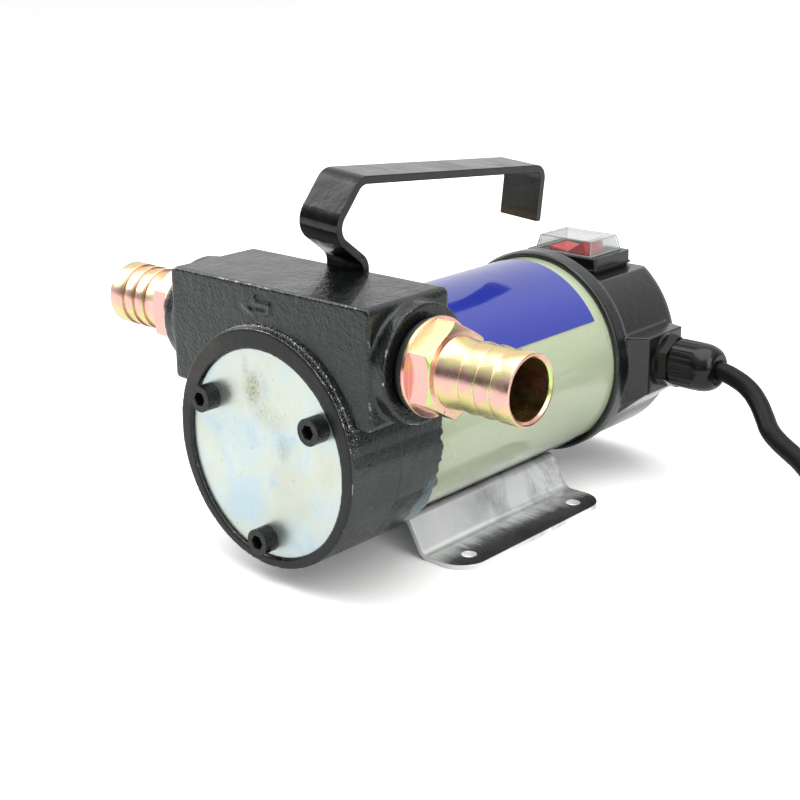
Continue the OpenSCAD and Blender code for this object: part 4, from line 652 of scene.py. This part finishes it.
def remeshed(name, sources, extra_hulls, voxel, rounds, look):
    """Join meshes and hulls of points into one closed skin with soft edges."""
    bm = bmesh.new()
    for source in sources:
        mesh = nodes[source].data.copy()
        mesh.transform(nodes[source].matrix_world)
        bm.from_mesh(mesh)
    for points in extra_hulls:
        corners = [bm.verts.new(Vector(point) * MM) for point in points]
        made = bmesh.ops.convex_hull(bm, input=corners)
        loose = [v for v in made["geom_interior"] if isinstance(v, bmesh.types.BMVert)]
        bmesh.ops.delete(bm, geom=loose, context="VERTS")
    mesh = bpy.data.meshes.new(name)
    bm.to_mesh(mesh)
    bm.free()
    piece = bpy.data.objects.new(name, mesh)
    bpy.context.scene.collection.objects.link(piece)
    remesh = piece.modifiers.new("remesh", "REMESH")
    remesh.mode = "VOXEL"
    remesh.voxel_size = voxel
    remesh.use_smooth_shade = True
    smooth = piece.modifiers.new("smooth", "SMOOTH")
    smooth.factor = 0.5
    smooth.iterations = rounds
    graph = bpy.context.evaluated_depsgraph_get()
    baked = bpy.data.meshes.new_from_object(piece.evaluated_get(graph))
    piece.modifiers.clear()
    piece.data = baked
    baked.materials.clear()
    baked.materials.append(MATERIALS[look])
    for face in baked.polygons:
        face.use_smooth = True
    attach(piece, "pump_body")
    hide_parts(*sources)
    return piece


# End cap and gland boss, in millimetres; the flare's sections run from BOSS_START back
CAP_R = 43.5
CAP_SKIN = 0.9
BOSS_ROOT_X = 41.9
BOSS_TOP_Z = 47.0
BOSS_FOOT_Z = 40.7
BOSS_START = 70.0
BOSS_SHOULDER = 74.5
BOSS_END = 99.4
BOSS_OUT = 51.95
BOSS_OUT_START = 44.25
CAP_VOXEL = 0.00055
CAST_VOXEL = 0.0006


def moulded_cap():
    """End cap whose gland boss runs down into the round side instead of ending square."""
    def section(y, out, foot_z):
        foot_x = math.sqrt(CAP_R ** 2 - (AXIS_Z / MM - foot_z) ** 2)
        inner_x = math.sqrt((CAP_R - CAP_SKIN) ** 2 - (AXIS_Z / MM - foot_z) ** 2)
        return [(BOSS_ROOT_X, y, BOSS_TOP_Z), (out, y, BOSS_TOP_Z), (out, y, BOSS_FOOT_Z),
                (foot_x, y, foot_z), (inner_x, y, foot_z)]

    flare = (section(BOSS_START, BOSS_OUT_START, 34.0) + section(BOSS_SHOULDER, BOSS_OUT, 28.0)
             + section(BOSS_END, BOSS_OUT, 28.0))
    remeshed("end_cap_moulded", ("end_cap",), (flare,), CAP_VOXEL, 2, "black_plastic")


def cast_body():
    """Pump casting and flange as one painted casting with soft edges and fillets."""
    piece = remeshed("cast_body_smooth", ("pump_casting", "motor_flange"), (), CAST_VOXEL, 5,
                     "black_cast_paint")
    ragged_rim(piece.data)
    true_chamber(piece.data)


# The vane chamber, in metres, and how near its bore the skin is put back, with its play
CHAMBER_R = 0.024
CHAMBER_Z = 0.050
CHAMBER_FRONT = -0.0960
CHAMBER_BACK = -0.0600
CHAMBER_SNAP = 0.0007
CHAMBER_PLAY = 0.00005


def true_chamber(mesh):
    """Put the skin of the vane chamber back on its bore, so that the vanes run clear."""
    for vertex in mesh.vertices:
        place = vertex.co
        if not CHAMBER_FRONT < place.y < CHAMBER_BACK:
            continue
        rise = place.z - CHAMBER_Z
        out = math.hypot(place.x, rise)
        if abs(out - CHAMBER_R) < CHAMBER_SNAP:
            place.x *= (CHAMBER_R + CHAMBER_PLAY) / out
            place.z = CHAMBER_Z + rise * (CHAMBER_R + CHAMBER_PLAY) / out


SPRING_WIRE_R = 0.0004
SPRING_TURNS = 6
SPRING_STEPS = 24


def spring_coil():
    """The bypass valve's spring as wound wire."""
    low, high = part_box("bypass_spring")
    wire = SPRING_WIRE_R
    coil_r = (high.y - low.y) / 2 - wire
    middle = (low + high) / 2
    coil = bpy.data.curves.new("spring_wire", "CURVE")
    coil.dimensions = "3D"
    coil.bevel_depth = wire
    coil.bevel_resolution = 2
    coil.use_fill_caps = True
    line = coil.splines.new("POLY")
    line.points.add(SPRING_TURNS * SPRING_STEPS)
    length = high.x - low.x - 2 * wire
    for k, point in enumerate(line.points):
        angle = 2 * math.pi * k / SPRING_STEPS
        point.co = (low.x + wire + length * k / (SPRING_TURNS * SPRING_STEPS),
                    middle.y + coil_r * math.cos(angle), middle.z + coil_r * math.sin(angle), 1.0)
    drawn = bpy.data.objects.new("spring_wire", coil)
    bpy.context.scene.collection.objects.link(drawn)
    graph = bpy.context.evaluated_depsgraph_get()
    mesh = bpy.data.meshes.new_from_object(drawn.evaluated_get(graph))
    bpy.data.objects.remove(drawn)
    piece = bpy.data.objects.new("bypass_spring_wound", mesh)
    bpy.context.scene.collection.objects.link(piece)
    mesh.materials.clear()
    mesh.materials.append(MATERIALS["spring_steel"])
    for face in mesh.polygons:
        face.use_smooth = True
    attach(piece, "pump_body")
    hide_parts("bypass_spring")
    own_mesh(piece)


BOOT_WALL = 0.0006
BOOT_BAR_R = 0.00026
BOOT_LEAN_X = 0.0013
BOOT_LEAN_Y = 0.0018


def clear_boot():
    """Clear cover over the rocker: thin sloping walls, a flat top and whitish edge bars that are
    painted highlights.
    """
    low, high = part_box("switch_boot")
    middle = (low + high) / 2
    half = (high - low) / 2
    foot = [Vector((middle.x + a * half.x, middle.y + b * half.y, low.z))
            for a, b in ((-1, -1), (1, -1), (1, 1), (-1, 1))]
    crown = [Vector((middle.x + a * (half.x - BOOT_LEAN_X),
                     middle.y + b * (half.y - BOOT_LEAN_Y), high.z))
             for a, b in ((-1, -1), (1, -1), (1, 1), (-1, 1))]
    bm = bmesh.new()
    shells = []
    for inward in (0.0, BOOT_WALL):
        ring_low = [bm.verts.new(middle_pull(v, middle, inward)) for v in foot]
        ring_high = [bm.verts.new(middle_pull(v, middle, inward) - Vector((0, 0, inward)))
                     for v in crown]
        shells.append((ring_low, ring_high))
    for (ring_low, ring_high), turned in zip(shells, (False, True)):
        for k in range(4):
            following = (k + 1) % 4
            corners = [ring_low[k], ring_low[following], ring_high[following], ring_high[k]]
            bm.faces.new(corners[::-1] if turned else corners)
        bm.faces.new(ring_high[::-1] if turned else ring_high)
    for k in range(4):
        following = (k + 1) % 4
        bm.faces.new([shells[0][0][following], shells[0][0][k], shells[1][0][k],
                      shells[1][0][following]])
    edges = ([(crown[k], crown[(k + 1) % 4]) for k in range(4)]
             + [(foot[k], crown[k]) for k in range(4)]
             + [(foot[k], foot[(k + 1) % 4]) for k in range(4)])
    for one, two in edges:
        add_bar(bm, one, two, BOOT_BAR_R, middle)
    mesh = bpy.data.meshes.new("switch_boot_clear")
    bm.to_mesh(mesh)
    bm.free()
    made = bpy.data.objects.new("switch_boot_clear", mesh)
    bpy.context.scene.collection.objects.link(made)
    mesh.materials.append(MATERIALS["clear_boot"])
    mesh.materials.append(BOOT_EDGE_HIGHLIGHT)
    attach(made, "pump_body")
    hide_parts("switch_boot")


def middle_pull(corner, middle, inward):
    """Move a corner towards the middle line by a wall on both sides."""
    return Vector((corner.x - math.copysign(inward, corner.x - middle.x),
                   corner.y - math.copysign(inward, corner.y - middle.y), corner.z))


def add_bar(bm, one, two, radius, middle):
    """A thin six-sided bar just inside an edge, so that the box stays as it is."""
    inset = [Vector((math.copysign(radius, v.x - middle.x), math.copysign(radius, v.y - middle.y),
                     radius if v.z > middle.z else -radius)) for v in (one, two)]
    start, end = one - inset[0], two - inset[1]
    along = (end - start).normalized()
    side = along.cross(Vector((0.3, 0.5, 0.8))).normalized()
    other = along.cross(side)
    loops = []
    for point in (start, end):
        loops.append([bm.verts.new(point + radius * (math.cos(k * math.pi / 3) * side
                                                     + math.sin(k * math.pi / 3) * other))
                      for k in range(6)])
    for k in range(6):
        following = (k + 1) % 6
        bm.faces.new((loops[0][k], loops[0][following], loops[1][following],
                      loops[1][k])).material_index = 1
    bm.faces.new(loops[0][::-1]).material_index = 1
    bm.faces.new(loops[1]).material_index = 1


cast_body()
moulded_cap()
clear_boot()
spring_coil()
hose_tail("inlet_hose_tail", 1)
hose_tail("outlet_hose_tail", -1)

# ---------------------------------------------------------------- power cord
CORD_R = 4.0
CORD_EXIT = (71.0, 87.0, 53.2)
ROUTE = [
    CORD_EXIT, (78.1, 87, 53.2),
    (86.1, 86.5, 51.5), (93.6, 84.5, 48.9), (100.1, 81, 45.2), (105.6, 76.5, 41.4),
    (110.6, 72, 38.3), (116.6, 69, 35.6), (123.1, 66.5, 33.4), (129.6, 64, 31),
    (135.6, 61, 27.7), (140.1, 57, 23.3), (143.6, 52.5, 18), (147.1, 47.5, 13.4),
    (152.1, 43, 9.6), (158.1, 39, 6.9), (165.1, 36, 5.5), (172.6, 34.5, 5), (180.1, 34, 5),
    (188.1, 34, 5),
]
COIL_CENTER = (196.1, 90.0, 5.0)
COIL_OUTER_R = 56.0
COIL_PITCH = 8.5
COIL_START = -90.0
COIL_END = 75.0
COIL_TURNS = 5 + (COIL_END - COIL_START) / 360
COIL_TAIL = 31.0
RINGS_A_TURN = 24


def coil_point(t):
    half = COIL_TURNS / 2
    radius = COIL_OUTER_R - COIL_PITCH * (half - abs(t - half))
    rise = COIL_PITCH * max(0.0, min(1.0, 2 * (t - half) + 0.5))
    angle = math.radians(COIL_START + 360 * t)
    return (COIL_CENTER[0] + radius * math.cos(angle), COIL_CENTER[1] + radius * math.sin(angle),
            COIL_CENTER[2] + rise)


coil_steps = round(COIL_TURNS * RINGS_A_TURN)
heading = math.radians(COIL_END + 90)
coil_last = coil_point(COIL_TURNS)
tail = [(coil_last[0] + d * math.cos(heading), coil_last[1] + d * math.sin(heading),
         coil_last[2]) for d in (CORD_R * 2, COIL_TAIL)]
cord_points = ROUTE + [coil_point(COIL_TURNS * k / coil_steps)
                       for k in range(coil_steps + 1)] + tail
cord_curve = bpy.data.curves.new("power_cord_tube", "CURVE")
cord_curve.dimensions = "3D"
cord_curve.bevel_depth = CORD_R * MM
cord_curve.bevel_resolution = 6
cord_curve.resolution_u = 6
cord_curve.use_fill_caps = True
spline = cord_curve.splines.new("BEZIER")
spline.bezier_points.add(len(cord_points) - 1)
for point, place in zip(spline.bezier_points, cord_points):
    point.co = Vector(place) * MM
    point.handle_left_type = "AUTO"
    point.handle_right_type = "AUTO"
cord = bpy.data.objects.new("power_cord_smooth", cord_curve)
bpy.context.scene.collection.objects.link(cord)
cord_curve.materials.append(MATERIALS["cord_black"])
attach(cord, "pump_body")
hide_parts("power_cord", "cord_coil")


# ---------------------------------------------------------------- floor, lights, world
def make_floor():
    material, tree = new_material("floor")
    seen = node(tree, "ShaderNodeBsdfDiffuse")
    seen.inputs["Color"].default_value = (1.25, 1.25, 1.25, 1.0)
    unseen = node(tree, "ShaderNodeBsdfDiffuse")
    unseen.inputs["Color"].default_value = (0.82, 0.82, 0.82, 1.0)
    mirrored = node(tree, "ShaderNodeBsdfDiffuse")
    mirrored.inputs["Color"].default_value = (0.80, 0.81, 0.81, 1.0)
    path = tree.nodes.new("ShaderNodeLightPath")
    other = mix_shader(tree, path.outputs["Is Glossy Ray"], unseen.outputs["BSDF"],
                       mirrored.outputs["BSDF"])
    finish_material(tree, mix_shader(tree, path.outputs["Is Camera Ray"], other,
                                     seen.outputs["BSDF"]))
    mesh = bpy.data.meshes.new("floor")
    side = 6.0
    mesh.from_pydata([(-side, -side, 0), (side, -side, 0), (side, side, 0), (-side, side, 0)],
                     [], [(0, 1, 2, 3)])
    floor = bpy.data.objects.new("floor", mesh)
    mesh.materials.append(material)
    bpy.context.scene.collection.objects.link(floor)


def area_light(name, place, aim, width, height, power):
    data = bpy.data.lights.new(name, "AREA")
    data.shape = "RECTANGLE"
    data.size = width
    data.size_y = height
    data.energy = power
    lamp = bpy.data.objects.new(name, data)
    lamp.location = place
    lamp.rotation_euler = (Vector(aim) - Vector(place)).to_track_quat("-Z", "Y").to_euler()
    bpy.context.scene.collection.objects.link(lamp)


make_floor()
area_light("top_box", (0.1, -0.1, 1.5), (0.0, 0.0, 0.05), 1.6, 1.6, 16.0)
area_light("left_box", (-1.35, -0.35, 0.95), (0.0, 0.0, 0.08), 1.0, 1.2, 12.0)
area_light("right_box", (1.3, -0.3, 0.8), (0.0, 0.0, 0.08), 0.9, 1.2, 10.0)

world = bpy.data.worlds.new("world")
world.use_nodes = True
tree = world.node_tree
shown = next(n for n in tree.nodes if n.type == "BACKGROUND")
shown.inputs["Color"].default_value = (1.0, 1.0, 1.0, 1.0)
shown.inputs["Strength"].default_value = 1.1
lit = tree.nodes.new("ShaderNodeBackground")
height = tree.nodes.new("ShaderNodeSeparateXYZ")
tree.links.new(tree.nodes.new("ShaderNodeTexCoord").outputs["Generated"], height.inputs["Vector"])
# Bright above and behind the part, darker on the camera's side
behind = maths(tree, "ADD", maths(tree, "MULTIPLY", height.outputs["X"], -math.sin(AZIMUTH)),
               maths(tree, "MULTIPLY", height.outputs["Y"], math.cos(AZIMUTH)))
glow = maths(tree, "MAXIMUM", span(tree, height.outputs["Z"], 0.25, 0.85, 0.12, 1.2),
             span(tree, behind, -0.1, 0.5, 0.12, 1.1))
tree.links.new(glow, lit.inputs["Strength"])
surface = next(n for n in tree.nodes if n.type == "OUTPUT_WORLD").inputs["Surface"]
sky_path = tree.nodes.new("ShaderNodeLightPath")
tree.links.new(mix_shader(tree, sky_path.outputs["Is Camera Ray"], lit.outputs["Background"],
                          shown.outputs["Background"]), surface)
bpy.context.scene.world = world
bpy.context.scene.view_settings.view_transform = "Standard"
